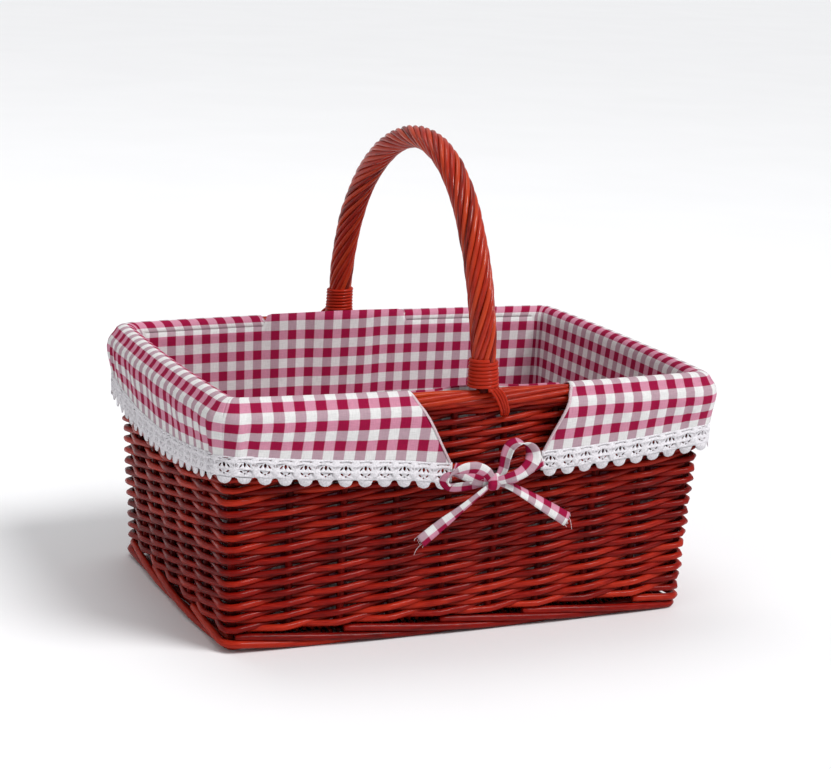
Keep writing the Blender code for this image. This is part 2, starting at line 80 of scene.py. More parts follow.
INNER_LOW_REACH = (0.1208, 0.1820)  # of the long sides and of the short sides, where they meet the floor
INNER_LOW_Z = 0.0138
FOOT_REACH = 0.1335  # of the inner cloth's edge behind the handle's feet
FRONT_EDGE_Z = 0.1972
BACK_EDGE_Z = 0.2017  # where the cloth stands up behind the back of the rim
SKIRT_OFFSET = 0.0092
SKIRT_PUFF = 0.0035
NOTCH_TOP = (-0.060, 0.074)
NOTCH_LOW = (-0.027, 0.048)
HEM_Z, HEM_DIP = 0.157, 0.010
KNOT = (0.004, 0.130)
TIE_Y = -0.1690
CORNER_SWEEP = 0.0177
RIBBON_THICKNESS = 0.0007


class BasketWillow(bpy.types.PropertyGroup):
    """Sizes and colours of the wicker."""

    rod: FloatProperty(
        name="Rod", description="Radius of a weaving rod", default=0.0025, unit="LENGTH"
    )
    level: FloatProperty(
        name="Level", description="Height between one rod and the next", default=0.0046, unit="LENGTH"
    )
    weave: FloatProperty(
        name="Weave", description="How far a rod swings to each side", default=0.0035, unit="LENGTH"
    )
    levels: IntProperty(
        name="Levels", description="Rods one above the other at a stake", default=38, min=2
    )
    border_rod: FloatProperty(
        name="Rim rod", description="Radius of a rim rod", default=0.0024, unit="LENGTH"
    )
    foot_rod: FloatProperty(
        name="Foot rod", description="Radius of a foot rod", default=0.0029, unit="LENGTH"
    )
    # The dark stain is the low end of the streaks, and also the colour painted in as shade in the gaps behind
    # stakes and under the rim.
    dark: FloatVectorProperty(
        name="Dark willow",
        description="Stained willow in the gaps",
        subtype="COLOR",
        default=(0.045, 0.0008, 0.0006),
    )
    red: FloatVectorProperty(
        name="Red willow", description="Most of the wall", subtype="COLOR", default=(0.215, 0.0045, 0.0022)
    )
    light: FloatVectorProperty(
        name="Light willow",
        description="Streaks where the stain is thin",
        subtype="COLOR",
        default=(0.460, 0.027, 0.009),
    )
    amber: FloatVectorProperty(
        name="Amber willow",
        description="Streaks on rim and handle",
        subtype="COLOR",
        default=(0.480, 0.050, 0.010),
    )


class BasketHandle(bpy.types.PropertyGroup):
    """Sizes of the handle."""

    rod: FloatProperty(
        name="Rod", description="Radius of a twisted rod", default=0.00215, unit="LENGTH"
    )
    reach: FloatProperty(
        name="Reach", description="From the middle to a rod's middle", default=0.0082, unit="LENGTH"
    )
    lay: FloatProperty(
        name="Lay", description="Length of one turn of the twist", default=0.145, unit="LENGTH"
    )
    rods: IntProperty(name="Rods", description="Rods in each of the four bunches", default=3, min=1)
    cane: FloatProperty(
        name="Cane", description="Radius of the binding cane", default=0.0014, unit="LENGTH"
    )
    turns: IntProperty(name="Turns", description="Turns of cane at each foot", default=8, min=1)


class BasketLiner(bpy.types.PropertyGroup):
    """Sizes and colours of the liner."""

    check: FloatProperty(
        name="Check", description="Width of two checks", default=0.0164, unit="LENGTH"
    )
    cloth: FloatProperty(
        name="Cloth", description="Thickness of the cloth", default=0.0010, unit="LENGTH"
    )
    lace_cell: FloatProperty(
        name="Lace repeat", description="Width of one lace motif", default=0.0154, unit="LENGTH"
    )
    ribbon: FloatProperty(
        name="Ribbon", description="Width of the ties", default=0.0116, unit="LENGTH"
    )
    raspberry: FloatVectorProperty(
        name="Raspberry", description="Full checks", subtype="COLOR", default=(0.300, 0.0045, 0.045)
    )
    pink: FloatVectorProperty(
        name="Pink",
        description="Half-tone checks along one thread",
        subtype="COLOR",
        default=(0.600, 0.250, 0.350),
    )
    mauve: FloatVectorProperty(
        name="Mauve",
        description="Half-tone checks along the other",
        subtype="COLOR",
        default=(0.460, 0.310, 0.360),
    )
    white: FloatVectorProperty(
        name="White", description="Plain checks", subtype="COLOR", default=(0.750, 0.740, 0.735)
    )
    lace: FloatVectorProperty(
        name="Lace", description="Cotton lace", subtype="COLOR", default=(0.860, 0.830, 0.870)
    )


class BasketStage(bpy.types.PropertyGroup):
    """Floor, light and camera."""

    floor: FloatVectorProperty(
        name="Floor", description="Floor colour", subtype="COLOR", default=(0.84, 0.84, 0.85)
    )
    key: FloatProperty(name="Key light", description="Strength of the main light", default=2.5)
    fill: FloatProperty(
        name="Fill light", description="Power of the side light", default=6.0, unit="POWER"
    )
    top: FloatProperty(
        name="Top light", description="Power of the overhead light", default=30.0, unit="POWER"
    )
    lens: FloatProperty(name="Lens", description="Focal length", default=94.0, unit="CAMERA")


# Materials

THREAD_PITCH = 0.0009


def shader_of(made):
    made.use_nodes = True
    return made.node_tree.nodes["Principled BSDF"]


def node(made, kind, **values):
    """A new shader node with its settings."""
    new = made.node_tree.nodes.new(kind)
    for key, value in values.items():
        setattr(new, key, value)
    return new


def link(made, output, socket):
    made.node_tree.links.new(output, socket)


def coordinates(made, mapped_from, scale):
    """Texture coordinates in metres, stretched."""
    if mapped_from == "UV":
        source = node(made, "ShaderNodeUVMap", uv_map="along").outputs["UV"]
    else:
        source = node(made, "ShaderNodeTexCoord").outputs["Object"]
    mapping = node(made, "ShaderNodeMapping")
    mapping.inputs["Scale"].default_value = scale
    link(made, source, mapping.inputs["Vector"])
    return mapping.outputs["Vector"]


def colour_ramp(made, factor, stops):
    ramp = node(made, "ShaderNodeValToRGB")
    elements = ramp.color_ramp.elements
    while len(elements) < len(stops):
        elements.new(0.5)
    for element, (at, colour) in zip(elements, stops):
        element.position = at
        element.color = (*colour, 1.0)
    link(made, factor, ramp.inputs["Fac"])
    return ramp.outputs["Color"]


def noise(made, vector, scale, detail=3.0, roughness=0.6):
    new = node(made, "ShaderNodeTexNoise")
    new.inputs["Scale"].default_value = scale
    new.inputs["Detail"].default_value = detail
    new.inputs["Roughness"].default_value = roughness
    link(made, vector, new.inputs["Vector"])
    return new.outputs["Fac"]


def math_node(made, operation, first, second=None, clamp=False):
    new = node(made, "ShaderNodeMath", operation=operation, use_clamp=clamp)
    for socket, value in zip(new.inputs, (first, second)):
        if isinstance(value, (int, float)):
            socket.default_value = value
        elif value is not None:
            link(made, value, socket)
    return new.outputs[0]


def mix_colour(made, factor, first, second, blend="MIX"):
    new = node(made, "ShaderNodeMix", data_type="RGBA", blend_type=blend)
    for socket, value in ((new.inputs[0], factor), (new.inputs[6], first), (new.inputs[7], second)):
        if isinstance(value, (int, float)):
            socket.default_value = value
        elif isinstance(value, tuple):
            socket.default_value = (*value, 1.0)
        else:
            link(made, value, socket)
    return new.outputs[2]


def spread(made, value, low, high, to_low, to_high):
    new = node(made, "ShaderNodeMapRange")
    for socket, number in zip(list(new.inputs)[1:5], (low, high, to_low, to_high)):
        socket.default_value = number
    link(made, value, new.inputs[0])
    return new.outputs[0]


def bump(made, height, distance, strength):
    new = node(made, "ShaderNodeBump")
    new.inputs["Strength"].default_value = strength
    new.inputs["Distance"].default_value = distance
    link(made, height, new.inputs["Height"])
    return new.outputs["Normal"]


def willow_material(name, dark, middle, light, mapped_from="UV", gloss=0.13):
    """Stained and varnished willow: long streaks, a tone that differs from rod to rod, and painted shade:
    darker where a rod passes in behind a stake or rolls under the rim.
    """
    made = bpy.data.materials.new(name)
    shader = shader_of(made)
    stretch = (1.0, 9.0, 1.0) if mapped_from == "UV" else (9.0, 9.0, 1.0)
    streaks = noise(made, coordinates(made, mapped_from, stretch), 95.0, 4.0, 0.65)
    patches = noise(made, coordinates(made, mapped_from, (1.0, 1.0, 1.0)), 22.0, 2.0, 0.5)
    if mapped_from == "UV":
        tone = node(made, "ShaderNodeAttribute", attribute_name="tone").outputs["Fac"]
        # painted_lit_share is 1 where a rod faces out and 0 where it is tucked in, and drives the painted
        # shade below.
        painted_lit_share = node(made, "ShaderNodeAttribute", attribute_name="painted_lit_share").outputs["Fac"]
    else:
        # The stakes have no such attributes: on them tone and this darkening come from random patches, a tone
        # of the wood, not shade.
        tone = patches
        painted_lit_share = patches
    level = math_node(made, "MULTIPLY", streaks, 0.55)
    level = math_node(made, "ADD", level, math_node(made, "MULTIPLY", patches, 0.25))
    level = math_node(made, "ADD", level, math_node(made, "MULTIPLY", tone, 0.30))
    colour = colour_ramp(made, level, [(0.30, dark), (0.52, middle), (0.78, light)])
    # Painted shade: the colour goes towards the dark stain where a rod passes behind a stake or under the
    # rim.
    painted_shade_and_patches = spread(made, painted_lit_share, 0.05, 0.60, 0.70, 0.0)
    colour = mix_colour(made, painted_shade_and_patches, colour, dark)
    link(made, colour, shader.inputs["Base Color"])
    link(made, spread(made, streaks, 0.3, 0.7, 0.46, 0.28), shader.inputs["Roughness"])
    link(made, bump(made, streaks, 0.0006, 0.55), shader.inputs["Normal"])
    shader.inputs["Specular IOR Level"].default_value = 0.05
    shader.inputs["Coat Weight"].default_value = gloss
    shader.inputs["Coat Roughness"].default_value = 0.12
    return made


def threads(made, place):
    """Threads over and under each other, from 0 to 1, with uneven thickness."""
    parts = node(made, "ShaderNodeSeparateXYZ")
    link(made, place, parts.inputs[0])
    waves = []
    for axis in (0, 1):
        angle = math_node(made, "MULTIPLY", parts.outputs[axis], math.tau / THREAD_PITCH)
        waves.append(math_node(made, "SINE", angle))
    crossed = math_node(made, "MULTIPLY", waves[0], waves[1])
    return spread(made, crossed, -1.0, 1.0, 0.0, 1.0), parts


def gingham_material(name, liner):
    """Cotton woven in even checks, with a half tone where one dyed thread crosses a plain one."""
    made = bpy.data.materials.new(name)
    shader = shader_of(made)
    place = coordinates(made, "UV", (1.0, 1.0, 1.0))
    weave, parts = threads(made, place)
    stripes = []
    for axis in (0, 1):
        checks = math_node(made, "MULTIPLY", parts.outputs[axis], 1.0 / liner.check)
        share = math_node(made, "FRACT", checks)
        away = math_node(made, "ABSOLUTE", math_node(made, "SUBTRACT", share, 0.5))
        stripes.append(spread(made, away, 0.235, 0.265, 1.0, 0.0))
    plain = mix_colour(made, stripes[0], tuple(liner.white), tuple(liner.mauve))
    dyed = mix_colour(made, stripes[0], tuple(liner.pink), tuple(liner.raspberry))
    colour = mix_colour(made, stripes[1], plain, dyed)
    slubs_along = noise(made, coordinates(made, "UV", (1.0, 14.0, 1.0)), 140.0, 3.0)
    slubs_across = noise(made, coordinates(made, "UV", (14.0, 1.0, 1.0)), 140.0, 3.0)
    slubs = math_node(made, "ADD", slubs_along, slubs_across)
    shade = spread(made, slubs, 0.7, 1.3, 0.80, 1.06)
    grey = node(made, "ShaderNodeCombineColor")
    for socket in list(grey.inputs)[:3]:
        link(made, shade, socket)
    colour = mix_colour(made, 1.0, colour, grey.outputs[0], "MULTIPLY")
    link(made, colour, shader.inputs["Base Color"])
    height = math_node(made, "ADD", weave, math_node(made, "MULTIPLY", slubs, 0.8))
    link(made, bump(made, height, 0.0003, 0.5), shader.inputs["Normal"])
    shader.inputs["Roughness"].default_value = 0.9
    shader.inputs["Specular IOR Level"].default_value = 0.12
    return made


def thread_material(name, colour, depth):
    """Plain cotton with a crocheted or woven surface."""
    made = bpy.data.materials.new(name)
    shader = shader_of(made)
    place = coordinates(made, "UV", (1.0, 1.0, 1.0))
    weave, _ = threads(made, place)
    lumps = noise(made, place, 700.0, 2.0, 0.5)
    darker = tuple(0.80 * value for value in colour)
    link(made, colour_ramp(made, lumps, [(0.35, darker), (0.60, colour)]), shader.inputs["Base Color"])
    height = math_node(made, "ADD", weave, math_node(made, "MULTIPLY", lumps, 1.5))
    link(made, bump(made, height, depth, 0.6), shader.inputs["Normal"])
    shader.inputs["Roughness"].default_value = 0.86
    shader.inputs["Sheen Weight"].default_value = 0.10
    return made


def floor_material(colour):
    made = bpy.data.materials.new("pale_floor")
    shader = shader_of(made)
    cloudy = noise(made, coordinates(made, "Object", (1.0, 1.0, 1.0)), 3.0, 2.0)
    pale = tuple(min(1.0, 1.02 * value) for value in colour)
    link(made, colour_ramp(made, cloudy, [(0.3, tuple(colour)), (0.7, pale)]), shader.inputs["Base Color"])
    shader.inputs["Roughness"].default_value = 0.65
    return made


# Meshes. A bundle gathers rods and strips into one mesh, with a place along and around each in metres.


class Bundle:
    def __init__(self):
        self.points = []
        self.faces = []
        self.places = []
        self.tones = []
        self.painted_lit_shares = []

    def add_grid(self, points, places, closed=False, tone=0.5, painted_lit_share=1.0):
        """Rows of points with a place for each, and for one column more where the grid closes."""
        rows, columns, _ = points.shape
        start = len(self.points)
        self.points.extend(points.reshape(-1, 3).tolist())
        self.tones.extend([tone] * rows * columns)
        self.painted_lit_shares.extend(np.broadcast_to(painted_lit_share, (rows, columns)).reshape(-1).tolist())
        last = columns if closed else columns - 1
        for row in range(rows - 1):
            for column in range(last):
                after = (column + 1) % columns
                corners = (
                    (row, column, column),
                    (row, after, column + 1),
                    (row + 1, after, column + 1),
                    (row + 1, column, column),
                )
                self.faces.append([start + r * columns + c for r, c, _ in corners])
                self.places.extend(tuple(places[r][p]) for r, _, p in corners)
        return start

    def add_rod(self, path, radius, sides, upright=(0.0, 0.0, 1.0), tone=0.5, painted_lit_share=1.0):
        """A rod along a path, with its ends cut and slightly rounded."""
        path = np.asarray(path, float)
        radius = np.broadcast_to(np.asarray(radius, float), (len(path),)).copy()
        painted_lit_share = np.broadcast_to(np.asarray(painted_lit_share, float), (len(path),))
        ahead = unit(np.gradient(path, axis=0))
        first_end = path[:1] - ahead[:1] * radius[0] * 0.25
        last_end = path[-1:] + ahead[-1:] * radius[-1] * 0.25
        path = np.vstack([first_end, path, last_end])
        ahead = np.vstack([ahead[:1], ahead, ahead[-1:]])
        radius = np.concatenate([radius[:1] * 0.72, radius, radius[-1:] * 0.72])
        painted_lit_share = np.concatenate([painted_lit_share[:1], painted_lit_share, painted_lit_share[-1:]])
        aside = unit(np.cross(ahead, np.asarray(upright, float)))
        above = np.cross(aside, ahead)
        turns = np.linspace(0, math.tau, sides, endpoint=False)[None, :, None]
        ring = np.cos(turns) * aside[:, None, :] + np.sin(turns) * above[:, None, :]
        points = path[:, None, :] + radius[:, None, None] * ring
        travelled = travel(path)
        around = np.arange(sides + 1) / sides * math.tau * radius.max() + tone
        places = np.stack(np.broadcast_arrays(travelled[:, None], around[None, :]), axis=-1)
        first = self.add_grid(points, places.tolist(), True, tone, painted_lit_share[:, None])
        for row, order in ((0, range(sides)), (len(path) - 1, reversed(range(sides)))):
            self.faces.append([first + row * sides + side for side in order])
            self.places.extend([(float(travelled[row]), tone)] * sides)

    def make(self, name, material, smooth_angle=60):
        mesh = bpy.data.meshes.new(name)
        mesh.from_pydata(self.points, [], self.faces)
        layer = mesh.uv_layers.new(name="along")
        layer.data.foreach_set("uv", np.asarray(self.places, np.float32).reshape(-1))
        # tone is each rod's own random tone; painted_lit_share carries the painted shade of the parts of rods
        # that are tucked in.
        for attribute, values in (("tone", self.tones), ("painted_lit_share", self.painted_lit_shares)):
            made = mesh.attributes.new(attribute, "FLOAT", "POINT")
            made.data.foreach_set("value", np.asarray(values, np.float32))
        mesh.materials.append(material)
        mesh.shade_smooth()
        mesh.set_sharp_from_angle(angle=math.radians(smooth_angle))
        piece = bpy.data.objects.new(name, mesh)
        bpy.context.scene.collection.objects.link(piece)
        return piece


def unit(vectors):
    return vectors / np.linalg.norm(vectors, axis=-1, keepdims=True)


def travel(path):
    """How far along a path each of its points is."""
    return np.concatenate([[0.0], np.cumsum(np.linalg.norm(np.diff(path, axis=0), axis=1))])


def smooth_path(knots, steps):
    """A smooth line through some points, with even steps between each two."""
    knots = np.asarray(knots, float)
    padded = np.vstack([2 * knots[0] - knots[1], knots, 2 * knots[-1] - knots[-2]])
    line = []
    for a, b, c, d in zip(padded, padded[1:], padded[2:], padded[3:]):
        for t in np.arange(steps) / steps:
            bend = (2 * a - 5 * b + 4 * c - d) * t**2
            twist = (3 * b - a - 3 * c + d) * t**3
            line.append(0.5 * (2 * b + (c - a) * t + bend + twist))
    line.append(knots[-1])
    return np.array(line)


def wander(random, count, size, every=24):
    """Slow seeded wandering about zero."""
    knots = random.normal(0.0, size, count // every + 4)
    return smooth_path(knots[:, None], every)[:count, 0]


# The plan of the wall. Places round it are measured anticlockwise in metres from the front left corner.


def wall_plan(z):
    up = np.asarray(z) / RIM_Z
    halves = [base + flare * up for base, flare in zip(BASE_HALVES, FLARES)]
    bows = [base + (rim - base) * up for base, rim in zip(BOWS_BASE, BOWS_RIM)]
    return *halves, *bows


STRAIGHTS = np.array([2 * (half - WALL_CORNER) for half in wall_plan(PLAN_Z)[:2]] * 2)
CORNER_LENGTH = WALL_CORNER * math.pi / 2
SIDE_STARTS = np.concatenate([[0.0], np.cumsum(STRAIGHTS + CORNER_LENGTH)])


def turned(side, sideways, outward, z):
    """From a side's own directions to the basket's. Sides are 0 to 3, anticlockwise from the front."""
    angle = np.asarray(side) * math.pi / 2
    x = sideways * np.cos(angle) + outward * np.sin(angle)
    y = sideways * np.sin(angle) - outward * np.cos(angle)
    return np.stack(np.broadcast_arrays(x, y, z), axis=-1)


def wall_point(along, z, offset=0.0):
    along = np.mod(along, SIDE_STARTS[-1])
    side = np.searchsorted(SIDE_STARTS, along, side="right") - 1
    local = along - SIDE_STARTS[side]
    straight = STRAIGHTS[side]
    share = np.minimum(2 * local / straight - 1, 1.0)
    turn = np.clip((local - straight) / CORNER_LENGTH, 0.0, 1.0) * math.pi / 2
    half_length, half_width, long_bow, short_bow = wall_plan(z)
    long_side = side % 2 == 0
    half_along = np.where(long_side, half_length, half_width) - WALL_CORNER
    half_across = np.where(long_side, half_width, half_length) - WALL_CORNER
    reach = WALL_CORNER + offset
    sideways = share * half_along + reach * np.sin(turn)
    outward = half_across + reach * np.cos(turn) + np.where(long_side, long_bow, short_bow) * (1 - share**2)
    return turned(side, sideways, outward, z)


def stake_places():
    """Where the thirty stakes stand, from the front left corner post round to the left side's last."""
    places = []
    for side in range(4):
        middle = SIDE_STARTS[side] + STRAIGHTS[side] / 2
        places.append(SIDE_STARTS[side] - CORNER_LENGTH / 2)
        places.extend(middle + (LONG_STAKES if side % 2 == 0 else SHORT_STAKES))
    return np.array(places)


STAKES = stake_places()


def between_stakes(count):
    """The place round the wall at a count of stakes, which may lie between two."""
    number = np.floor(count).astype(int)
    rounds, index = np.divmod(number, len(STAKES))
    first = STAKES[index]
    following = STAKES[(index + 1) % len(STAKES)]
    after = np.where(index + 1 < len(STAKES), following, STAKES[0] + SIDE_STARTS[-1])
    return first + (after - first) * (count - number) + rounds * SIDE_STARTS[-1]


def settings():
    return bpy.context.scene.wicker_basket_parts


def material(name):
    return bpy.data.materials[name]


def place_piece(piece, body, slot, *replaced):
    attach(piece, body)
    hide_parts(*replaced)
    return piece


def refinish(cad, finish):
    cad.data.materials.clear()
    cad.data.materials.append(finish)


# Wicker


def weave_walls():
    """Thirty rods that each climb one level a stake, outside one stake and inside the next."""
    sizes = settings().willow
    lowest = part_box("front_wall_weave")[0].z + sizes.rod
    panels = ("front_wall_weave", "right_wall_weave", "back_wall_weave", "left_wall_weave")
    steps = 9
    for number in range(len(STAKES)):
        random = np.random.default_rng(100 + number)
        climbed = np.linspace(-1.0, sizes.levels - 1 + 0.30, (sizes.levels + 1) * steps)
        count = len(climbed)
        swing = np.arcsin(0.97 * np.cos(math.pi * climbed)) / math.asin(0.97)
        reach = sizes.weave * swing + wander(random, count, 0.00022)
        z = lowest + sizes.level * climbed.clip(0) + wander(random, count, 0.00028)
        thickness = sizes.rod * random.normal(1.0, 0.035) * np.linspace(1.06, 0.90, count)
        path = wall_point(between_stakes(number + climbed), z, reach)
        round_handle = HANDLE_BULGE * np.exp(-((path[:, 0] / HANDLE_BULGE_WIDTH) ** 2))
        path[:, 1] += np.sign(path[:, 1]) * round_handle
        thickness = thickness + wander(random, count, 0.00006, 8)
        bundle = Bundle()
        # Painted shade: the rod's colour is darkened where its swing takes it in behind a stake.
        bundle.add_rod(path, thickness, 9, tone=random.uniform(), painted_lit_share=(swing + 1) / 2)
        piece = bundle.make(f"wall_rod_{number + 1:02d}", material("wall_willow"))
        place_piece(piece, "basket", "willow", panels[number % len(panels)])
    for name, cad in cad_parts.items():
        if "_stake_" in name or name.endswith("_corner_post"):
            refinish(cad, material("stake_willow"))


def roll_border(name, replaced, finish, slot, rod, centre_z, roll, angles, every, span, seed):
    """A border of like rods, each rolled round the border's middle line over some stakes.
    Its angles are in degrees, from 0 outwards and 90 upwards.
    """
    first_angle, last_angle = angles
    bundle = Bundle()
    for number in range(0, len(STAKES), every):
        random = np.random.default_rng(seed + number)
        count = 12 * span
        share = np.linspace(0.0, 1.0, count)
        early = random.uniform(-0.30, 0.30)
        angle = np.radians(first_angle + (last_angle - first_angle) * share) + wander(random, count, 0.05)
        places = between_stakes(number + early + share * span)
        z = centre_z + roll * np.sin(angle) + wander(random, count, 0.00018)
        thickness = rod * random.normal(1.0, 0.03) * np.linspace(1.04, 0.90, count)
        path = wall_point(places, z, roll * np.cos(angle))
        path[:, :2] += wall_point(places, centre_z)[:, :2] - wall_point(places, z)[:, :2]
        # Painted shade: the rolled rods are coloured darker where they turn in and under, and lighter where
        # they face out and up.
        border_painted_lit_share = np.clip(0.75 + 0.5 * np.cos(angle - 0.5), 0.0, 1.0)
        bundle.add_rod(path, thickness, 10, tone=random.uniform(), painted_lit_share=border_painted_lit_share)
    place_piece(bundle.make(name, finish), "basket", slot, replaced)


def weave_foot_border():
    sizes = settings().willow
    low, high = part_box("foot_border")
    middle = (low.z + high.z) / 2
    roll = (high.z - low.z) / 2 - sizes.foot_rod - 0.0003
    roll_border(
        "foot_border_rods", "foot_border", material("wall_willow"), "willow", sizes.foot_rod,
        middle, roll, angles=(72, -185), every=2, span=6, seed=300,
    )


def weave_rim_border():
    sizes = settings().willow
    low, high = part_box("top_border")
    middle = (low.z + high.z) / 2
    roll = (high.z - low.z) / 2 - sizes.border_rod
    roll_border(
        "rim_border_rods", "top_border", material("border_willow"), "rim_willow", sizes.border_rod,
        middle, roll, angles=(-84, 200), every=1, span=6, seed=400,
    )


def weave_base():
    """Lengthways sticks with thin rods woven across them."""
    low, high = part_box("base_weave")
    middle = (low.z + high.z) / 2
    stick, rod, swing = 0.0022, 0.0015, 0.0024
    rows = np.array([-0.093, -0.062, -0.031, 0.0, 0.031, 0.062, 0.093])
    replaced = {-0.062: "base_stick_1", 0.0: "base_stick_2", 0.062: "base_stick_3"}
    spare = Bundle()
    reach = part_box("base_stick_1")[1].x
    for row in rows:
        random = np.random.default_rng(int(900 + 1000 * row))
        xs = np.linspace(-reach, reach, 60)
        path = np.stack([xs, row + wander(random, 60, 0.0002), np.full(60, middle)], axis=-1)
        if row in replaced:
            stick_bundle = Bundle()
            stick_bundle.add_rod(path, stick, 9, tone=random.uniform())
            piece = stick_bundle.make(replaced[row] + "_rod", material("wall_willow"))
            place_piece(piece, "basket", "willow", replaced[row])
        else:
            spare.add_rod(path, stick, 9, tone=random.uniform())
    place_piece(spare.make("base_spare_sticks", material("wall_willow")), "basket", "willow", "base_weave")
    cross = Bundle()
    columns = np.arange(low.x + 0.004, high.x - 0.003, 2.06 * rod)
    for number, x in enumerate(columns):
        random = np.random.default_rng(1200 + number)
        bow = BOWS_BASE[0] * (1 - (x / high.x) ** 2)
        inset = max(0.0, abs(x) - (high.x - 0.012)) ** 2 / 0.012 * 0.6
        half = high.y - BOWS_BASE[0] + bow - 0.0055 - inset
        ys = np.linspace(-half, half, 88)
        phase = np.interp(ys, [-0.124, *rows, 0.124], np.arange(len(rows) + 2))
        z = middle + swing * np.cos(math.pi * (phase + number))
        path = np.stack([x + wander(random, 88, 0.0001), ys, z], axis=-1)
        cross.add_rod(path, rod, 6, tone=random.uniform())
    place_piece(cross.make("base_cross_rods", material("wall_willow")), "basket", "willow", "base_weave")


# Handle

LASHING_ROD = 0.00105


def arch(angle):
    y = HANDLE_HALF_SPAN * np.cos(angle) - HANDLE_LEAN * np.sin(angle) ** 3
    return np.stack([np.zeros_like(angle), y, RIM_Z + HANDLE_RISE * np.sin(angle)], axis=-1)


def arch_frame(angle):
    y = -HANDLE_HALF_SPAN * np.sin(angle) - 3 * HANDLE_LEAN * np.sin(angle) ** 2 * np.cos(angle)
    ahead = unit(np.stack([np.zeros_like(angle), y, HANDLE_RISE * np.cos(angle)], -1))
    aside = np.broadcast_to([-1.0, 0.0, 0.0], ahead.shape)
    return ahead, aside, np.cross(aside, ahead)


def even_arch_angles(start_z, count):
    """Angles from the back foot to the front one, evenly spaced along the arch."""
    start = math.asin((start_z - RIM_Z) / HANDLE_RISE)
    fine = np.linspace(start, math.pi - start, 2000)
    travelled = travel(arch(fine))
    even = np.linspace(0.0, travelled[-1], count)
    return np.interp(even, travelled, fine), even


def twist_handle():
    """Rods side by side round the core, in four bunches, with a right-hand twist."""
    sizes = settings().handle
    angles, travelled = even_arch_angles(0.2005, 170)
    _, aside, outward = arch_frame(angles)
    total = 4 * sizes.rods
    for bunch in range(4):
        bundle = Bundle()
        for place in range(sizes.rods):
            number = bunch * sizes.rods + place
            random = np.random.default_rng(600 + number)
            crowd = (place - (sizes.rods - 1) / 2) * 0.97 + (sizes.rods - 1) / 2 - place
            share = (number + crowd) / total
            turn = math.tau * (travelled / sizes.lay + share) + wander(random, len(angles), 0.018)
            foot = np.minimum(travelled, travelled[-1] - travelled)
            squeeze = 1 - 0.14 * np.exp(-((foot / 0.030) ** 2))
            reach = sizes.reach * squeeze + wander(random, len(angles), 0.00014)
            flat = 1 - 0.16 * np.sin(angles) ** 6
            radial = (flat * np.cos(turn))[:, None] * outward + np.sin(turn)[:, None] * aside
            path = arch(angles) + reach[:, None] * radial
            thickness = sizes.rod * random.normal(1.0, 0.03) + wander(random, len(angles), 0.00005, 8)
            bundle.add_rod(path, thickness, 10, (1.0, 0.0, 0.0), tone=random.uniform(), painted_lit_share=0.9)
        piece = bundle.make(f"handle_bunch_{bunch + 1}", material("handle_willow"))
        place_piece(piece, "basket", "rim_willow", f"handle_wrap_{bunch + 1}")
    refinish(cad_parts["handle_core"], material("stake_willow"))


def bind_handle():
    """Cane wound round each foot, and lashed down over the rim."""
    sizes = settings().handle
    for side, facing in (("front", 1.0), ("back", -1.0)):
        low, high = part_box(f"{side}_handle_binding")
        bottom, top = low.z + sizes.cane, high.z - sizes.cane * 0.8
        count = 40 * sizes.turns
        share = np.linspace(0.0, 1.0, count)
        random = np.random.default_rng(700 if facing > 0 else 750)
        z = bottom + (top - bottom) * share
        lean = math.pi - np.arcsin(np.clip((z - RIM_Z) / HANDLE_RISE, 0, 1))
        middle_y = HANDLE_HALF_SPAN * np.cos(lean)
        reach = 0.0112 - 0.0012 * np.sqrt(share) + wander(random, count, 0.0001)
        turn = math.tau * sizes.turns * share
        x, y = reach * np.sin(turn), middle_y - reach * np.cos(turn)
        path = np.stack([facing * x, facing * y, z + wander(random, count, 0.00012)], axis=-1)
        bundle = Bundle()
        bundle.add_rod(path, sizes.cane * 1.03, 9, tone=0.6, painted_lit_share=1.0)
        piece = bundle.make(f"{side}_cane_binding", material("handle_cane"))
        place_piece(piece, "basket", "rim_willow", f"{side}_handle_binding")
        lashing = Bundle()
        for strand in range(4):
            random = np.random.default_rng(720 + strand)
            knots = [
                (0.0000 + 0.0026 * strand, -0.1622, 0.2008),
                (0.0034 + 0.0026 * strand, -0.1638, 0.1972),
                (0.0066 + 0.0024 * strand, -0.1640, 0.1925),
                (0.0100 + 0.0021 * strand, -0.1627, 0.1865),
                (0.0128 + 0.0019 * strand, -0.1600, 0.1815),
                (0.0148 + 0.0017 * strand, -0.1555, 0.1780),
            ]
            path = smooth_path(knots, 8)
            path[:, 0] += wander(random, len(path), 0.0001)
            path[:, :2] *= facing
            lashing.add_rod(path, LASHING_ROD, 8, (0.0, 1.0, 0.0), tone=random.uniform(), painted_lit_share=1.0)
        piece = lashing.make(f"{side}_cane_lashing", material("handle_cane"))
        place_piece(piece, "basket", "rim_willow", f"{side}_rim_lashing")


# Liner


def bag_point(side, share, distance, z, corner):
    """On the liner. Shares past 1 go round half of the corner, to 2."""
    half_length, half_width, _, _ = wall_plan(np.where(np.asarray(z) > 0.015, RIM_Z, z))
    long_side = side % 2 == 0
    half_along = (half_length if long_side else half_width) - corner
    half_across = (half_width if long_side else half_length) - corner
    turn = (np.abs(share) - 1).clip(0) * math.pi / 4
    round_radius = distance - half_across
    sideways = np.sign(share) * (np.minimum(np.abs(share), 1) * half_along + round_radius * np.sin(turn))
    outward = half_across + round_radius * np.cos(turn)
    return turned(side, sideways, outward, z)


def side_half(side, corner):
    return (BASE_HALVES[side % 2] + FLARES[side % 2]) - corner


def hem_height(side, share):
    """The hem hangs lower in the middle of a side, and most beside the bow."""
    dip = HEM_DIP * (1 - share**2).clip(0)
    if side % 2 == 0:
        x = share * side_half(side, SKIRT_CORNER)
        dip = dip + 0.0036 * np.exp(-(((x - NOTCH_LOW[0]) / 0.030) ** 2))
    return HEM_Z - dip


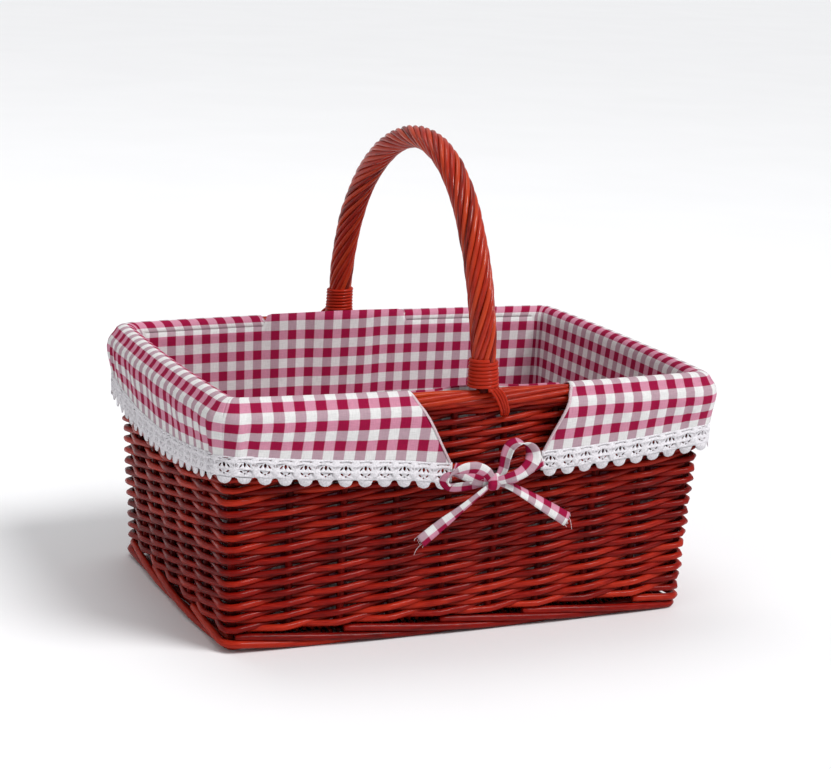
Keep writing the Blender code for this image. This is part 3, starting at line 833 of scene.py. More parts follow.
def border_reach(side, share):
    """From the centre plane to the middle line of the rim's border."""
    up = BORDER_Z / RIM_Z
    other = (side + 1) % 2
    half = BASE_HALVES[other] + FLARES[other] * up
    bow = BOWS_BASE[side % 2] + (BOWS_RIM[side % 2] - BOWS_BASE[side % 2]) * up
    return half + bow * (1 - share**2).clip(0)


def skirt_reach(side, share):
    half = BASE_HALVES[(side + 1) % 2] + FLARES[(side + 1) % 2]
    bow = BOWS_RIM[side % 2]
    return half + SKIRT_OFFSET + bow * (1 - share**2).clip(0)


def folds(side, share, down):
    """How far the skirt's gathers stand out. They start under the rim, and are deepest at the corners."""
    past = (np.abs(share) - 1).clip(0) * 0.014
    x = np.sign(share) * (np.minimum(np.abs(share), 1) * side_half(side, SKIRT_CORNER) + past)
    corner = np.exp(-(((np.abs(share) - 1.3) / 0.40) ** 2))
    end = (0.5 if side % 2 else 0.25) * np.exp(-(((np.abs(share) - 0.75) / 0.45) ** 2))
    ripple = np.sin(x / 0.0165 * math.tau + side * 1.7) + 0.45 * np.sin(x / 0.0101 * math.tau + 1.0 + side)
    slow = 0.0010 * np.sin(x / 0.058 * math.tau + 2.1 * side)
    growth = np.clip(down / 0.020, 0.0, 1.0) ** 0.8 * (1 - 0.75 * np.clip((down - 0.018) / 0.022, 0.0, 1.0))
    gathers = 0.0013 * (corner + end) * (ripple + 0.9)
    return growth * (gathers + slow * (1 - corner) * (2 - np.abs(share)).clip(0, 1) + 0.0005)


def skirt_point(side, share, height_share):
    """On the cloth from the inner edge of the rim at 0, over it, and down outside to the hem at 1."""
    rim = border_reach(side, share)
    outer = skirt_reach(side, share)
    hem = hem_height(side, share)
    corner_turn = (np.abs(share) - 1).clip(0) * math.pi / 2
    swell = 0.0010 * np.sin(corner_turn) ** 2
    over_angles = np.radians([176, 153, 130, 107, 84, 62, 40, 20])
    over_reaches = [rim + (FOLD_RADIUS + swell) * math.cos(angle) for angle in over_angles]
    over_heights = [BORDER_Z + FOLD_RADIUS * math.sin(angle) + 0 * hem for angle in over_angles]
    puff = outer + SKIRT_PUFF
    low = BORDER_Z - 0.006
    reaches = [*over_reaches, puff - 0.0004, puff + 0.0003, outer + 0.35 * SKIRT_PUFF, outer]
    heights = [*over_heights, low + 0.003 + 0 * hem, low - 0.004 + 0 * hem, low + (hem - low) * 0.62, hem]
    section = np.array([0.0, 0.045, 0.09, 0.135, 0.18, 0.225, 0.27, 0.32, 0.42, 0.52, 0.76, 1.0])
    distance = sum_hats(section, reaches, height_share)
    z = sum_hats(section, heights, height_share)
    distance = distance + folds(side, share, BORDER_Z + 0.001 - z)
    corner = INNER_CORNER + (SKIRT_CORNER - INNER_CORNER) * min(1.0, height_share / 0.20)
    return bag_point(side, share, distance, z, corner)


def sum_hats(at, values, where):
    """Linear interpolation between values that are themselves arrays."""
    index = np.clip(np.searchsorted(at, where, side="right") - 1, 0, len(at) - 2)
    part = (where - at[index]) / (at[index + 1] - at[index])
    return values[index] * (1 - part) + values[index + 1] * part


def notch_edge(which, z):
    """Where the notch's left or right edge is at a height."""
    fall = np.clip((RIM_Z - z) / (RIM_Z - HEM_Z + HEM_DIP), 0.0, 1.15)
    return NOTCH_TOP[which] + (NOTCH_LOW[which] - NOTCH_TOP[which]) * fall


def side_shares(side):
    """Columns of a side's cloth, closer together round the corners, and the two columns at its notch."""
    corner = np.linspace(1.0, 2.0, 11)[1:]
    if side % 2:
        middle = np.linspace(-1, 1, 61)
        return np.concatenate([-corner[::-1], middle, corner]), None
    half = side_half(side, INNER_CORNER)
    left, right = NOTCH_TOP[0] / half, NOTCH_TOP[1] / half
    runs = [np.linspace(start, end, 34) for start, end in ((-1, left), (left, right), (right, 1))]
    first = len(corner) + 33
    return np.concatenate([-corner[::-1], runs[0][:-1], runs[1][:-1], runs[2], corner]), (first, first + 33)


def skirt_share(side, share, notch, z, corner):
    """Slants the columns beside the notch so that they follow its edges."""
    if notch is None:
        return share
    left, right = (place / side_half(side, INNER_CORNER) for place in NOTCH_TOP)
    left_now, right_now = (notch_edge(which, z) / side_half(side, corner) for which in (0, 1))
    moved = np.where(
        share <= left,
        -1 + (share + 1) * (left_now + 1) / (left + 1),
        np.where(share >= right, 1 - (1 - share) * (1 - right_now) / (1 - right), share),
    )
    return np.where(np.abs(share) >= 1, share, moved)


SKIRT_ROWS = np.concatenate([np.linspace(0.0, 0.27, 10), np.linspace(0.27, 1.0, 19)[1:]])
INNER_ROWS = 26


def inner_top_row(side, shares):
    """The inner cloth's upper edge lies on the rim, but stands inwards where the handle comes down."""
    rim = skirt_point(side, shares, 0.0)
    if side % 2:
        return rim
    x = shares * side_half(side, INNER_CORNER)
    foot = np.exp(-((x / 0.030) ** 4))
    rim_reach = border_reach(side, shares) - FOLD_RADIUS
    reach = rim_reach + (FOOT_REACH - rim_reach) * foot
    height = FRONT_EDGE_Z + 0 * x if side == 0 else BACK_EDGE_Z + 0.235 * (rim_reach - reach)
    taut = bag_point(side, shares, reach, height, INNER_CORNER)
    near = np.clip(np.minimum(x - NOTCH_TOP[0], NOTCH_TOP[1] - x) / 0.005, 0.0, 1.0)
    near = (near * near * (3 - 2 * near))[:, None]
    return rim + (taut - rim) * near


def cloth_side(side):
    """Grids of points of one side of the liner: the inner wall, and the skirt over and outside the rim."""
    shares, notch = side_shares(side)
    low = bag_point(side, shares, INNER_LOW_REACH[side % 2], np.full(len(shares), INNER_LOW_Z), INNER_CORNER)
    top = inner_top_row(side, shares)
    up = np.linspace(0.0, 1.0, INNER_ROWS)[:, None]
    inner = low + (top - low) * up[:, :, None]
    half = side_half(side, INNER_CORNER)
    x = shares * half
    random = np.random.default_rng(40 + side)
    crease = np.zeros((INNER_ROWS, len(shares)))
    for _ in range(9):
        middle, width = random.uniform(-1.0, 1.0) * half, random.uniform(0.008, 0.026)
        slant = random.uniform(-0.06, 0.06)
        crease += random.uniform(-1, 1) * np.exp(-(((x[None, :] - middle - slant * up) / width) ** 2))
    clear = 1 - np.exp(-((x[None, :] / 0.022) ** 2))
    inwards = turned(side, np.zeros(len(shares)), np.full(len(shares), -1.0), 0.0)
    depth = np.sin(math.pi * up) * (0.0009 + 0.0014 * np.abs(crease)) * (1.0 if side % 2 else clear)
    inner = inner + depth[:, :, None] * inwards[None, :, :]
    skirt, skirt_shares = [], []
    for row in SKIRT_ROWS:
        corner = INNER_CORNER + (SKIRT_CORNER - INNER_CORNER) * min(1.0, row / 0.20)
        trial = skirt_point(side, shares, row)
        moved = skirt_share(side, shares, notch, trial[:, 2], corner)
        skirt.append(skirt_point(side, moved, row))
        skirt_shares.append(moved)
    return inner, np.array(skirt), shares, np.array(skirt_shares), notch


def cloth_lengths(points):
    """How far along each column of a grid its rows are."""
    steps = np.linalg.norm(np.diff(points, axis=0), axis=2)
    return np.concatenate([np.zeros((1, points.shape[1])), np.cumsum(steps, axis=0)])


def check_places(side, share, down):
    """Where a row of the cloth is on the checked pattern, which goes round the four sides without a break."""
    check = settings().liner.check
    corner_reach = CORNER_SWEEP * math.pi / 4
    halves = [side_half(number, SKIRT_CORNER) + corner_reach for number in range(4)]
    middles = np.cumsum(halves) + np.concatenate([[0.0], np.cumsum(halves)[:-1]])
    repeats = round(2 * sum(halves) / check)
    past = (np.abs(share) - 1).clip(0) * corner_reach
    across = np.sign(share) * (np.minimum(np.abs(share), 1) * side_half(side, SKIRT_CORNER) + past)
    round_all = (middles[side] + across) * repeats * check / (2 * sum(halves)) + 0.06 * down
    return [(float(u), float(v)) for u, v in zip(*np.broadcast_arrays(round_all, down))]


def solidify(piece, thickness):
    modifier = piece.modifiers.new("thickness", "SOLIDIFY")
    modifier.thickness = thickness
    modifier.offset = 0.0


def weld(piece, distance=1e-5):
    shape = bmesh.new()
    shape.from_mesh(piece.data)
    bmesh.ops.remove_doubles(shape, verts=shape.verts, dist=distance)
    shape.to_mesh(piece.data)
    shape.free()


def sew_liner():
    """The side cloth in one piece, up the inside, over the rim and down outside, and the floor."""
    liner = settings().liner
    cloth = Bundle()
    edging = Bundle()
    tall = 0.0
    round_rim = 0.0
    for side in range(4):
        inner, skirt, shares, moved, notch = cloth_side(side)
        down = cloth_lengths(skirt).mean(axis=1) if side == 0 else down
        up = cloth_lengths(inner)
        tall = max(tall, float((up[-1] + cloth_lengths(skirt)[-1]).max()))
        round_rim += float(cloth_lengths(inner[-1][:, None])[-1, 0])
        rim = up[-1].copy()
        if notch is not None:
            rim[notch[0] : notch[1] + 1] = np.linspace(rim[notch[0]], rim[notch[1]], notch[1] - notch[0] + 1)
        cloth.add_grid(inner, [check_places(side, shares, row) for row in up - rim])
        parts = [(0, len(shares))] if notch is None else [(0, notch[0] + 1), (notch[1], len(shares))]
        for first, last in parts:
            places = [check_places(side, row[first:last], v) for v, row in zip(down, moved)]
            cloth.add_grid(skirt[:, first:last], places)
        if notch is not None:
            bind_notch(edging, side, skirt, notch)
    piece = cloth.make("liner_side_cloth", material("checked_cotton"), 180)
    weld(piece)
    solidify(piece, liner.cloth)
    place_piece(
        piece, "liner", "gingham",
        "liner_front_cloth", "liner_back_cloth", "liner_left_cloth", "liner_right_cloth",
    )
    trim = edging.make("notch_edge_binding", material("edge_tape"), 180)
    place_piece(trim, "liner", "gingham", "liner_front_cloth", "liner_back_cloth")
    sew_floor(liner)


def bind_notch(edging, side, skirt, notch):
    """Folded tape over the cloth's edge round a notch."""
    outward = turned(side, 0.0, 1.0, 0.0)
    for column, inwards in ((notch[0], 1), (notch[1], -1)):
        edge = skirt[:, column]
        beside = unit(skirt[:, column - inwards] - edge)
        strip_over_edge(edging, edge, beside, np.broadcast_to(outward, edge.shape), 0.0018)


def strip_over_edge(bundle, edge, beside, outward, width):
    """A strip that lies on one face of a cloth, turns round its edge and lies on the other."""
    gap = 0.0009
    around = [
        (width, gap), (width * 0.5, gap * 1.15), (gap * 0.4, gap), (-gap * 0.55, 0.0),
        (gap * 0.4, -gap), (width * 0.5, -gap * 1.15), (width, -gap),
    ]
    rows = np.array([edge + reach * beside + out * outward for reach, out in around])
    along = travel(edge)
    places = [[(float(u), 0.0014 * row) for u in along] for row in range(len(around))]
    bundle.add_grid(rows, places)


def sew_floor(liner):
    low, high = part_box("liner_floor_cloth")
    xs = np.linspace(low.x, high.x, 75)
    ys = np.linspace(low.y, high.y, 49)
    grid_x, grid_y = np.meshgrid(xs, ys)
    over_x = (np.abs(grid_x) - (high.x - INNER_CORNER)).clip(0)
    over_y = (np.abs(grid_y) - (high.y - INNER_CORNER)).clip(0)
    reach = np.hypot(over_x, over_y)
    in_corner = (over_x > 0) & (over_y > 0) & (reach > 0)
    pull = np.where(in_corner, np.maximum(over_x, over_y) / np.maximum(reach, 1e-9), 1.0)
    grid_x = grid_x - np.sign(grid_x) * over_x * (1 - pull)
    grid_y = grid_y - np.sign(grid_y) * over_y * (1 - pull)
    waves = np.sin(grid_x * 71 + 1.3 * np.sin(grid_y * 40)) * np.sin(grid_y * 58 + 0.7) * 0.5 + 0.5
    z = low.z + liner.cloth / 2 + 0.0001 + 0.0011 * waves**2
    points = np.stack([grid_x, grid_y, z], axis=-1)
    places = np.stack([grid_x, grid_y], axis=-1).tolist()
    bundle = Bundle()
    bundle.add_grid(points, places)
    floor = bundle.make("liner_floor", material("checked_cotton"), 180)
    solidify(floor, liner.cloth * 0.9)
    place_piece(floor, "liner", "gingham", "liner_floor_cloth")


# Lace. One motif is drawn flat, repeated, and bent along the hem.

LACE_WIDTH = 0.0203
LACE_THICKNESS = 0.0009


def oval(x, y, wide, tall, turn=0.0, count=14, point=0.0):
    """A closed outline. With a point, its lower end is drawn in."""
    made = []
    for angle in np.linspace(0, math.tau, count, endpoint=False):
        across, up = wide / 2 * math.cos(angle), tall / 2 * math.sin(angle)
        across *= 1 - point * max(0.0, -math.sin(angle))
        turned_across = across * math.cos(turn) - up * math.sin(turn)
        turned_up = across * math.sin(turn) + up * math.cos(turn)
        made.append((x + turned_across, y + turned_up))
    return made


def lace_motif(width):
    """Triangles of one repeat, as flat points and faces. Its top edge is at 0 and its tooth points down."""
    half = width / 2
    top = [(-half + width * i / 8, 0.0) for i in range(9)]
    right = [
        (half, -0.0050), (half, -0.0100), (half, -0.0152),
        (half - 0.0011, -0.0153), (half - 0.0021, -0.0159), (half - 0.0026, -0.0171),
        (half - 0.0033, -0.0186), (half - 0.0045, -0.0197), (half - 0.0060, -LACE_WIDTH),
    ]
    left = [(-x, y) for x, y in reversed(right)]
    outline = top + right + [(0.0, -LACE_WIDTH)] + left
    holes = [
        oval(0.0, -0.0064, 0.0024, 0.0038, point=0.45, count=16),
        oval(-0.0032, -0.0068, 0.0036, 0.0014, math.radians(52)),
        oval(0.0032, -0.0068, 0.0036, 0.0014, math.radians(-52)),
        oval(-0.0028, -0.0112, 0.0030, 0.0014, math.radians(-40)),
        oval(0.0028, -0.0112, 0.0030, 0.0014, math.radians(40)),
        oval(0.0, -0.0128, 0.0015, 0.0015, count=10),
        oval(-half / 2 - 0.0001, -0.0021, 0.0025, 0.0007, count=8),
        oval(half / 2 + 0.0001, -0.0021, 0.0025, 0.0007, count=8),
    ]
    for x in (-half + 0.0007, half - 0.0007):
        for inset in (0.0, 0.0010):
            place = x + math.copysign(inset, -x)
            holes.append(oval(place, -0.0062, 0.00052, 0.0026 - inset * 0.8, count=8))
    curve = bpy.data.curves.new("motif", "CURVE")
    curve.dimensions = "2D"
    curve.fill_mode = "BOTH"
    for loop in [outline, *holes]:
        spline = curve.splines.new("POLY")
        spline.points.add(len(loop) - 1)
        spline.points.foreach_set("co", np.array([(x, y, 0.0, 1.0) for x, y in loop]).reshape(-1))
        spline.use_cyclic_u = True
    drawn = bpy.data.objects.new("motif", curve)
    bpy.context.scene.collection.objects.link(drawn)
    bpy.context.view_layer.update()
    mesh = bpy.data.meshes.new_from_object(drawn.evaluated_get(bpy.context.evaluated_depsgraph_get()))
    points = np.array([vertex.co[:2] for vertex in mesh.vertices])
    faces = [list(face.vertices) for face in mesh.polygons]
    bpy.data.objects.remove(drawn)
    bpy.data.meshes.remove(mesh)
    return points, faces


def hem_route(end):
    """The hem's line from the notch on one side round an end to the next, and which way is outwards."""
    half = side_half(0, SKIRT_CORNER)
    sides = (2, 3, 0) if end == "left" else (0, 1, 2)
    spans = ((NOTCH_LOW[1] / half, 2.0), (-2.0, 2.0), (-2.0, NOTCH_LOW[0] / half))
    points, outs = [], []
    for side, (first, last) in zip(sides, spans):
        shares = np.linspace(first, last, 260)
        shares = shares if last == spans[-1][1] else shares[:-1]
        hem = skirt_point(side, shares, 1.0)
        turn = np.sign(shares) * (np.abs(shares) - 1).clip(0) * math.pi / 4
        points.append(hem)
        outs.append(turned(side, np.sin(turn), np.cos(turn), 0.0))
    points, outs = np.concatenate(points), np.concatenate(outs)
    return points, outs, travel(points)


def sew_lace():
    liner = settings().liner
    for end in ("left", "right"):
        route, outs, along = hem_route(end)
        repeats = round(along[-1] / liner.lace_cell)
        width = along[-1] / repeats
        motif, motif_faces = lace_motif(width)
        motifs, faces = [], []
        for number in range(repeats):
            motifs.append(motif + [(number + 0.5) * width, 0.0])
            faces.extend([[number * len(motif) + index for index in face] for face in motif_faces])
        flat = np.concatenate(motifs)
        placed = np.stack([np.interp(flat[:, 0], along, route[:, axis]) for axis in range(3)], axis=-1)
        out = unit(np.stack([np.interp(flat[:, 0], along, outs[:, axis]) for axis in range(3)], axis=-1))
        down = -flat[:, 1]
        flare = 0.0006 + 0.0003 * np.sin(flat[:, 0] / 0.021 * math.tau) * (down / 0.02)
        placed += out * flare[:, None]
        placed[:, 2] += 0.0012 - down
        mesh = bpy.data.meshes.new(f"{end}_lace")
        mesh.from_pydata(placed.tolist(), [], faces)
        layer = mesh.uv_layers.new(name="along")
        places = np.array([flat[corner.vertex_index] for corner in mesh.loops], np.float32)
        layer.data.foreach_set("uv", places.reshape(-1))
        mesh.materials.append(material("cotton_lace"))
        mesh.shade_smooth()
        piece = bpy.data.objects.new(f"{end}_lace", mesh)
        bpy.context.scene.collection.objects.link(piece)
        weld(piece)
        solidify(piece, LACE_THICKNESS)
        place_piece(piece, "liner", "lace", f"{end}_lace_trim")


# Bows


def ribbon_strip(bundle, knots, width, shape, start):
    """A strip through (x, y, z, twist): flat to the front at a twist of 0 degrees, and edge-on at 90.
    It is gathered to shares of its width at its start, middle and end.
    """
    line = smooth_path(knots, 9)
    width = (width * np.interp(np.linspace(0.0, 1.0, len(line)), [0.0, 0.35, 0.65, 1.0], shape))[:, None]
    path, twist = line[:, :3], np.radians(line[:, 3])
    ahead = unit(np.gradient(path, axis=0))
    aside = unit(np.cross(ahead, [0.0, 1.0, 0.0]))
    into = np.cross(aside, ahead)
    wide = np.cos(twist)[:, None] * aside + np.sin(twist)[:, None] * into
    thick = np.cross(ahead, wide)
    spots = np.linspace(-0.5, 0.5, 7)
    curl = 0.13 * width * (1 - (2 * spots) ** 2)
    points = path[:, None] + (spots * width)[..., None] * wide[:, None] + curl[..., None] * thick[:, None]
    travelled = start + travel(path)
    places = np.stack(np.broadcast_arrays(travelled[:, None], spots * width + 0.004), axis=-1)
    bundle.add_grid(points, places.tolist())
    return float(travelled[-1] - travelled[0]), points


LEFT_LOOP = (
    (-0.0010, -0.1705, 0.0010, 10), (-0.0080, -0.1735, 0.0090, 14), (-0.0180, -0.1748, 0.0135, 20),
    (-0.0290, -0.1735, 0.0125, 38), (-0.0375, -0.1700, 0.0075, 76), (-0.0385, -0.1668, 0.0005, 108),
    (-0.0310, -0.1652, -0.0035, 142), (-0.0170, -0.1655, -0.0030, 160), (-0.0040, -0.1675, -0.0005, 170),
)
RIGHT_LOOP = (
    (0.0020, -0.1722, 0.0010, 0), (0.0100, -0.1762, 0.0040, 0), (0.0195, -0.1775, 0.0078, 6),
    (0.0272, -0.1768, 0.0140, 22), (0.0298, -0.1750, 0.0215, 42), (0.0262, -0.1732, 0.0285, 72),
    (0.0190, -0.1722, 0.0310, 98), (0.0118, -0.1718, 0.0277, 114), (0.0083, -0.1716, 0.0192, 124),
    (0.0068, -0.1714, 0.0100, 134), (0.0030, -0.1705, 0.0020, 150),
)
LEFT_TAIL = (
    (-0.0020, -0.1700, -0.0015, 30), (-0.0100, -0.1688, -0.0085, 34), (-0.0240, -0.1660, -0.0205, 30),
    (-0.0390, -0.1635, -0.0325, 14), (-0.0550, -0.1622, -0.0450, 4),
)
RIGHT_TAIL = (
    (0.0030, -0.1700, -0.0005, 30), (0.0130, -0.1690, -0.0040, 44), (0.0280, -0.1668, -0.0125, 42),
    (0.0470, -0.1640, -0.0240, 26), (0.0680, -0.1625, -0.0370, 8),
)
LEFT_SEWN = (
    (-0.0300, -0.1612, 0.0100, 8), (-0.0220, -0.1636, 0.0062, 14), (-0.0120, -0.1660, 0.0010, 12),
    (-0.0020, -0.1680, -0.0010, 0),
)
RIGHT_SEWN = (
    (0.0440, -0.1622, 0.0120, 8), (0.0330, -0.1650, 0.0072, 14), (0.0190, -0.1684, 0.0015, 12),
    (0.0030, -0.1696, 0.0000, 0),
)


LEFT_STRIPS = (LEFT_SEWN, LEFT_LOOP, LEFT_TAIL)
RIGHT_STRIPS = (RIGHT_SEWN, RIGHT_LOOP, RIGHT_TAIL)
GATHERS = ((0.85, 0.85, 0.75, 0.6), (0.55, 1.0, 1.0, 0.5), (0.45, 0.72, 0.90, 0.95))


def tie_bows():
    """Each bow is two ties, each with its loop and tail, and the knot where they cross."""
    liner = settings().liner
    sides = (
        ("front", 1.0, "front_left_tie", "front_right_tie"),
        ("back", -1.0, "back_right_tie", "back_left_tie"),
    )
    for side, facing, first, second in sides:
        for name, strips in ((first, LEFT_STRIPS), (second, RIGHT_STRIPS)):
            bundle = Bundle()
            length = 0.0
            for strip, shape in zip(strips, GATHERS):
                knots = [(facing * (KNOT[0] + x), facing * y, KNOT[1] + z, twist) for x, y, z, twist in strip]
                added, points = ribbon_strip(bundle, knots, liner.ribbon, shape, 0.003 + length)
                length += added
            piece = bundle.make(name + "_ribbon", material("checked_cotton"), 180)
            solidify(piece, RIBBON_THICKNESS)
            place_piece(piece, "liner", "gingham", name)
            frays = fray(name, points, facing)
        tie_knot(side, facing, first, second)


def fray(name, points, facing):
    """Loose threads at a tail's cut end."""
    random = np.random.default_rng(len(name) * 7 + (facing < 0))
    ends = points[-1]
    ahead = unit(points[-1] - points[-3])
    bundle = Bundle()
    for number in range(6):
        at = ends[0] + (ends[-1] - ends[0]) * (number + 0.5) / 6
        reach = random.uniform(0.0010, 0.0022) if number != 4 else 0.0062
        push = ahead[3] + random.normal(0.0, 0.25, 3) * [1.0, 0.2, 1.0]
        droop = np.array([0.0, 0.0, -0.35])
        path = [
            at - ahead[3] * 0.001,
            at + push * reach * 0.4,
            at + (push + droop) * reach * 0.8,
            at + (push + 2 * droop) * reach,
        ]
        bundle.add_rod(smooth_path(path, 4), 0.00016, 5, (0.0, 1.0, 0.0))
    piece = bundle.make(name + "_frayed_end", material("cotton_lace"))
    return place_piece(piece, "liner", "lace", name)


def tie_knot(side, facing, first, second):
    """A snug knot: a creased band of ribbon round the crossing."""
    around, across = 40, 13
    bundle = Bundle()
    points = np.zeros((across, around, 3))
    places = np.zeros((across, around + 1, 2))
    for row, along in enumerate(np.linspace(-1, 1, across)):
        swell = math.sqrt(max(0.0, 1 - (0.95 * along) ** 4))
        for column, turn in enumerate(np.linspace(0, math.tau, around, endpoint=False)):
            crease = 1 + 0.07 * math.cos(3 * turn + 2.2 * along) + 0.05 * math.cos(7 * turn + 1.3)
            deep, tall = 0.0040 * swell * crease, 0.0062 * swell * crease
            slant = 0.22 * along * 0.0044
            points[row, column] = (0.0044 * along + slant, deep * math.cos(turn), tall * math.sin(turn))
        places[row, :, 0] = np.linspace(0, 0.0328, around + 1) + 0.0060
        places[row, :, 1] = 0.0112 + 0.0044 * along
    points += [KNOT[0], TIE_Y - 0.0012, KNOT[1]]
    points[..., :2] *= facing
    bundle.add_grid(points, places.tolist(), True)
    piece = bundle.make(f"{side}_bow_knot", material("checked_cotton"), 180)
    place_piece(piece, "liner", "gingham", first, second)


# Stage

SUN_TOWARDS = (0.50, -0.62, 0.95)
SUN_SPREAD = 26.0  # in degrees, as are the camera's three angles
ROOM_STRENGTH = 0.50
VIEW_AZIMUTH = -23.5
VIEW_ELEVATION = 12.8
VIEW_ROLL = 2.3
VIEW_CENTRE = (0.0104, 0.0, 0.1668)
VIEW_DISTANCE = 1.785


def light_stage():
    stage = settings().stage
    scene = bpy.context.scene
    bpy.ops.mesh.primitive_plane_add(size=60.0)
    floor = bpy.context.active_object
    floor.name = "floor"
    floor.data.materials.append(floor_material(tuple(stage.floor)))
    world = bpy.data.worlds.new("pale_room")
    world.use_nodes = True
    background = world.node_tree.nodes["Background"]
    background.inputs["Color"].default_value = (0.95, 0.96, 0.97, 1.0)
    background.inputs["Strength"].default_value = ROOM_STRENGTH
    scene.world = world
    target = Vector((0.0, 0.0, 0.12))
    sun = bpy.data.lights.new("key", "SUN")
    sun.energy = stage.key
    sun.angle = math.radians(SUN_SPREAD)
    made = bpy.data.objects.new("key", sun)
    made.rotation_euler = Vector(SUN_TOWARDS).to_track_quat("Z", "Y").to_euler()
    scene.collection.objects.link(made)
    lights = (
        ("side", (-2.90, -1.50, 1.70), 1.60, stage.fill),
        ("top", (-0.30, 1.20, 3.60), 2.20, stage.top),
    )
    for name, at, size, power in lights:
        lamp = bpy.data.lights.new(name, "AREA")
        lamp.shape = "DISK"
        lamp.size = size
        lamp.energy = power
        made = bpy.data.objects.new(name, lamp)
        made.location = at
        made.rotation_euler = (target - Vector(at)).to_track_quat("-Z", "Y").to_euler()
        scene.collection.objects.link(made)
    set_camera(stage.lens)
    scene.view_settings.view_transform = "Standard"
    scene.view_settings.look = "None"


def set_camera(lens):
    azimuth, elevation, roll = (math.radians(angle) for angle in (VIEW_AZIMUTH, VIEW_ELEVATION, VIEW_ROLL))
    back = Vector((
        math.sin(azimuth) * math.cos(elevation), -math.cos(azimuth) * math.cos(elevation), math.sin(elevation)
    ))
    right = Vector((math.cos(azimuth), math.sin(azimuth), 0.0))
    up = back.cross(right)
    tilted_right = math.cos(roll) * right + math.sin(roll) * up
    tilted_up = -math.sin(roll) * right + math.cos(roll) * up
    eye = Vector(VIEW_CENTRE) + back * VIEW_DISTANCE
    matrix = Matrix((tilted_right, tilted_up, back)).transposed().to_4x4()
    matrix.translation = eye
    lens_data = bpy.data.cameras.new("camera")
    lens_data.lens = lens
    lens_data.sensor_width = 36.0
    camera = bpy.data.objects.new("camera", lens_data)
    camera.matrix_world = matrix
    bpy.context.scene.collection.objects.link(camera)
    bpy.context.scene.camera = camera


def make_materials():
    """All the finishes, from the chosen colours."""
    willow, liner = settings().willow, settings().liner
    stains = (willow.dark, willow.red, willow.light, willow.amber)
    dark, red, light, amber = (tuple(colour) for colour in stains)
    rim_red = tuple(0.5 * (a + b) for a, b in zip(red, light))
    handle_red = tuple(0.4 * a + 0.6 * b for a, b in zip(red, light))
    willow_material("wall_willow", dark, red, light)
    willow_material("border_willow", dark, rim_red, amber)
    willow_material("handle_willow", dark, handle_red, amber, gloss=0.40)
    willow_material("handle_cane", red, handle_red, light)
    # Stakes and the handle's core show only in the gaps between rods: their colour is the dark stain and
    # darker still, painted shade of the gaps on top of the stain.
    willow_material("stake_willow", tuple(0.6 * value for value in dark), dark, red, "Object", 0.0)
    gingham_material("checked_cotton", liner)
    thread_material("cotton_lace", tuple(liner.lace), 0.0005)
    tape = tuple(0.55 * a + 0.45 * b for a, b in zip(liner.white, liner.pink))
    thread_material("edge_tape", tape, 0.0003)


# Operators


class BASKET_OT_materials(bpy.types.Operator):
    """Mix the stain, the varnish, the gingham and the cottons"""

    bl_idname = "basket.materials"
    bl_label = "Materials"
    bl_options = {"REGISTER", "UNDO"}

    def execute(self, context):
        make_materials()
        return {"FINISHED"}


class BASKET_OT_walls(bpy.types.Operator):
    """Weave the thirty wall rods round the stakes"""

    bl_idname = "basket.walls"
    bl_label = "Walls"
    bl_options = {"REGISTER", "UNDO"}

    def execute(self, context):
        weave_walls()
        return {"FINISHED"}


class BASKET_OT_foot_border(bpy.types.Operator):
    """Roll the thick rods of the foot border"""

    bl_idname = "basket.foot_border"
    bl_label = "Foot border"
    bl_options = {"REGISTER", "UNDO"}

    def execute(self, context):
        weave_foot_border()
        return {"FINISHED"}


class BASKET_OT_rim_border(bpy.types.Operator):
    """Roll the rods of the rim border"""

    bl_idname = "basket.rim_border"
    bl_label = "Rim border"
    bl_options = {"REGISTER", "UNDO"}

    def execute(self, context):
        weave_rim_border()
        return {"FINISHED"}


class BASKET_OT_base(bpy.types.Operator):
    """Weave the base round its sticks"""

    bl_idname = "basket.base"
    bl_label = "Base"
    bl_options = {"REGISTER", "UNDO"}

    def execute(self, context):
        weave_base()
        return {"FINISHED"}


class BASKET_OT_handle(bpy.types.Operator):
    """Twist the handle's rods round its core"""

    bl_idname = "basket.handle"
    bl_label = "Handle"
    bl_options = {"REGISTER", "UNDO"}

    def execute(self, context):
        twist_handle()
        return {"FINISHED"}


class BASKET_OT_bindings(bpy.types.Operator):
    """Bind the handle's feet with cane and lash them to the rim"""

    bl_idname = "basket.bindings"
    bl_label = "Bindings and lashings"
    bl_options = {"REGISTER", "UNDO"}

    def execute(self, context):
        bind_handle()
        return {"FINISHED"}


class BASKET_OT_liner(bpy.types.Operator):
    """Sew the liner's sides and floor and bind its notches"""

    bl_idname = "basket.liner"
    bl_label = "Liner"
    bl_options = {"REGISTER", "UNDO"}

    def execute(self, context):
        sew_liner()
        return {"FINISHED"}


class BASKET_OT_lace(bpy.types.Operator):
    """Sew lace to the hem round each end"""

    bl_idname = "basket.lace"
    bl_label = "Lace"
    bl_options = {"REGISTER", "UNDO"}

    def execute(self, context):
        sew_lace()
        return {"FINISHED"}


class BASKET_OT_bows(bpy.types.Operator):
    """Tie the ribbons at the front and the back"""

    bl_idname = "basket.bows"
    bl_label = "Bows"
    bl_options = {"REGISTER", "UNDO"}

    def execute(self, context):
        tie_bows()
        return {"FINISHED"}


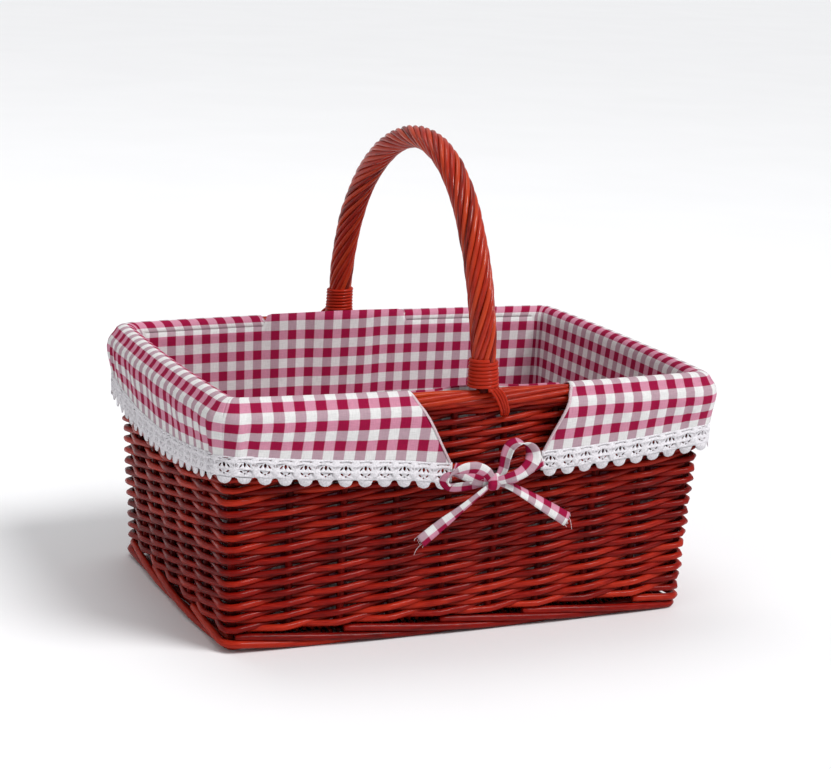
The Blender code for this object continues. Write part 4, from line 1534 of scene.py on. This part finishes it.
class BASKET_OT_stage(bpy.types.Operator):
    """Set the floor, the lights and the camera"""

    bl_idname = "basket.stage"
    bl_label = "Stage"
    bl_options = {"REGISTER", "UNDO"}

    def execute(self, context):
        light_stage()
        return {"FINISHED"}


OPERATORS = (
    BASKET_OT_materials,
    BASKET_OT_walls,
    BASKET_OT_foot_border,
    BASKET_OT_rim_border,
    BASKET_OT_base,
    BASKET_OT_handle,
    BASKET_OT_bindings,
    BASKET_OT_liner,
    BASKET_OT_lace,
    BASKET_OT_bows,
    BASKET_OT_stage,
)


class BasketParts(bpy.types.PropertyGroup):
    """All the basket's settings."""

    willow: PointerProperty(type=BasketWillow)
    handle: PointerProperty(type=BasketHandle)
    liner: PointerProperty(type=BasketLiner)
    stage: PointerProperty(type=BasketStage)


class BASKET_PT_panel(bpy.types.Panel):
    """Lists the basket's pieces in the order they are made"""

    bl_label = "Wicker basket"
    bl_space_type = "VIEW_3D"
    bl_region_type = "UI"
    bl_category = "Basket"

    def draw(self, context):
        parts = context.scene.wicker_basket_parts
        for group in (parts.willow, parts.handle, parts.liner, parts.stage):
            box = self.layout.box()
            for name in group.__annotations__:
                box.prop(group, name)
        for operator in OPERATORS:
            self.layout.operator(operator.bl_idname)


CLASSES = (BasketWillow, BasketHandle, BasketLiner, BasketStage, BasketParts, *OPERATORS, BASKET_PT_panel)


def register():
    for added in CLASSES:
        bpy.utils.register_class(added)
    bpy.types.Scene.wicker_basket_parts = PointerProperty(type=BasketParts)


def unregister():
    del bpy.types.Scene.wicker_basket_parts
    for added in reversed(CLASSES):
        bpy.utils.unregister_class(added)


def main():
    register()
    bpy.ops.basket.materials()
    bpy.ops.basket.walls()
    bpy.ops.basket.foot_border()
    bpy.ops.basket.rim_border()
    bpy.ops.basket.base()
    bpy.ops.basket.handle()
    bpy.ops.basket.bindings()
    bpy.ops.basket.liner()
    bpy.ops.basket.lace()
    bpy.ops.basket.bows()
    bpy.ops.basket.stage()


if __name__ == "__main__":
    main()
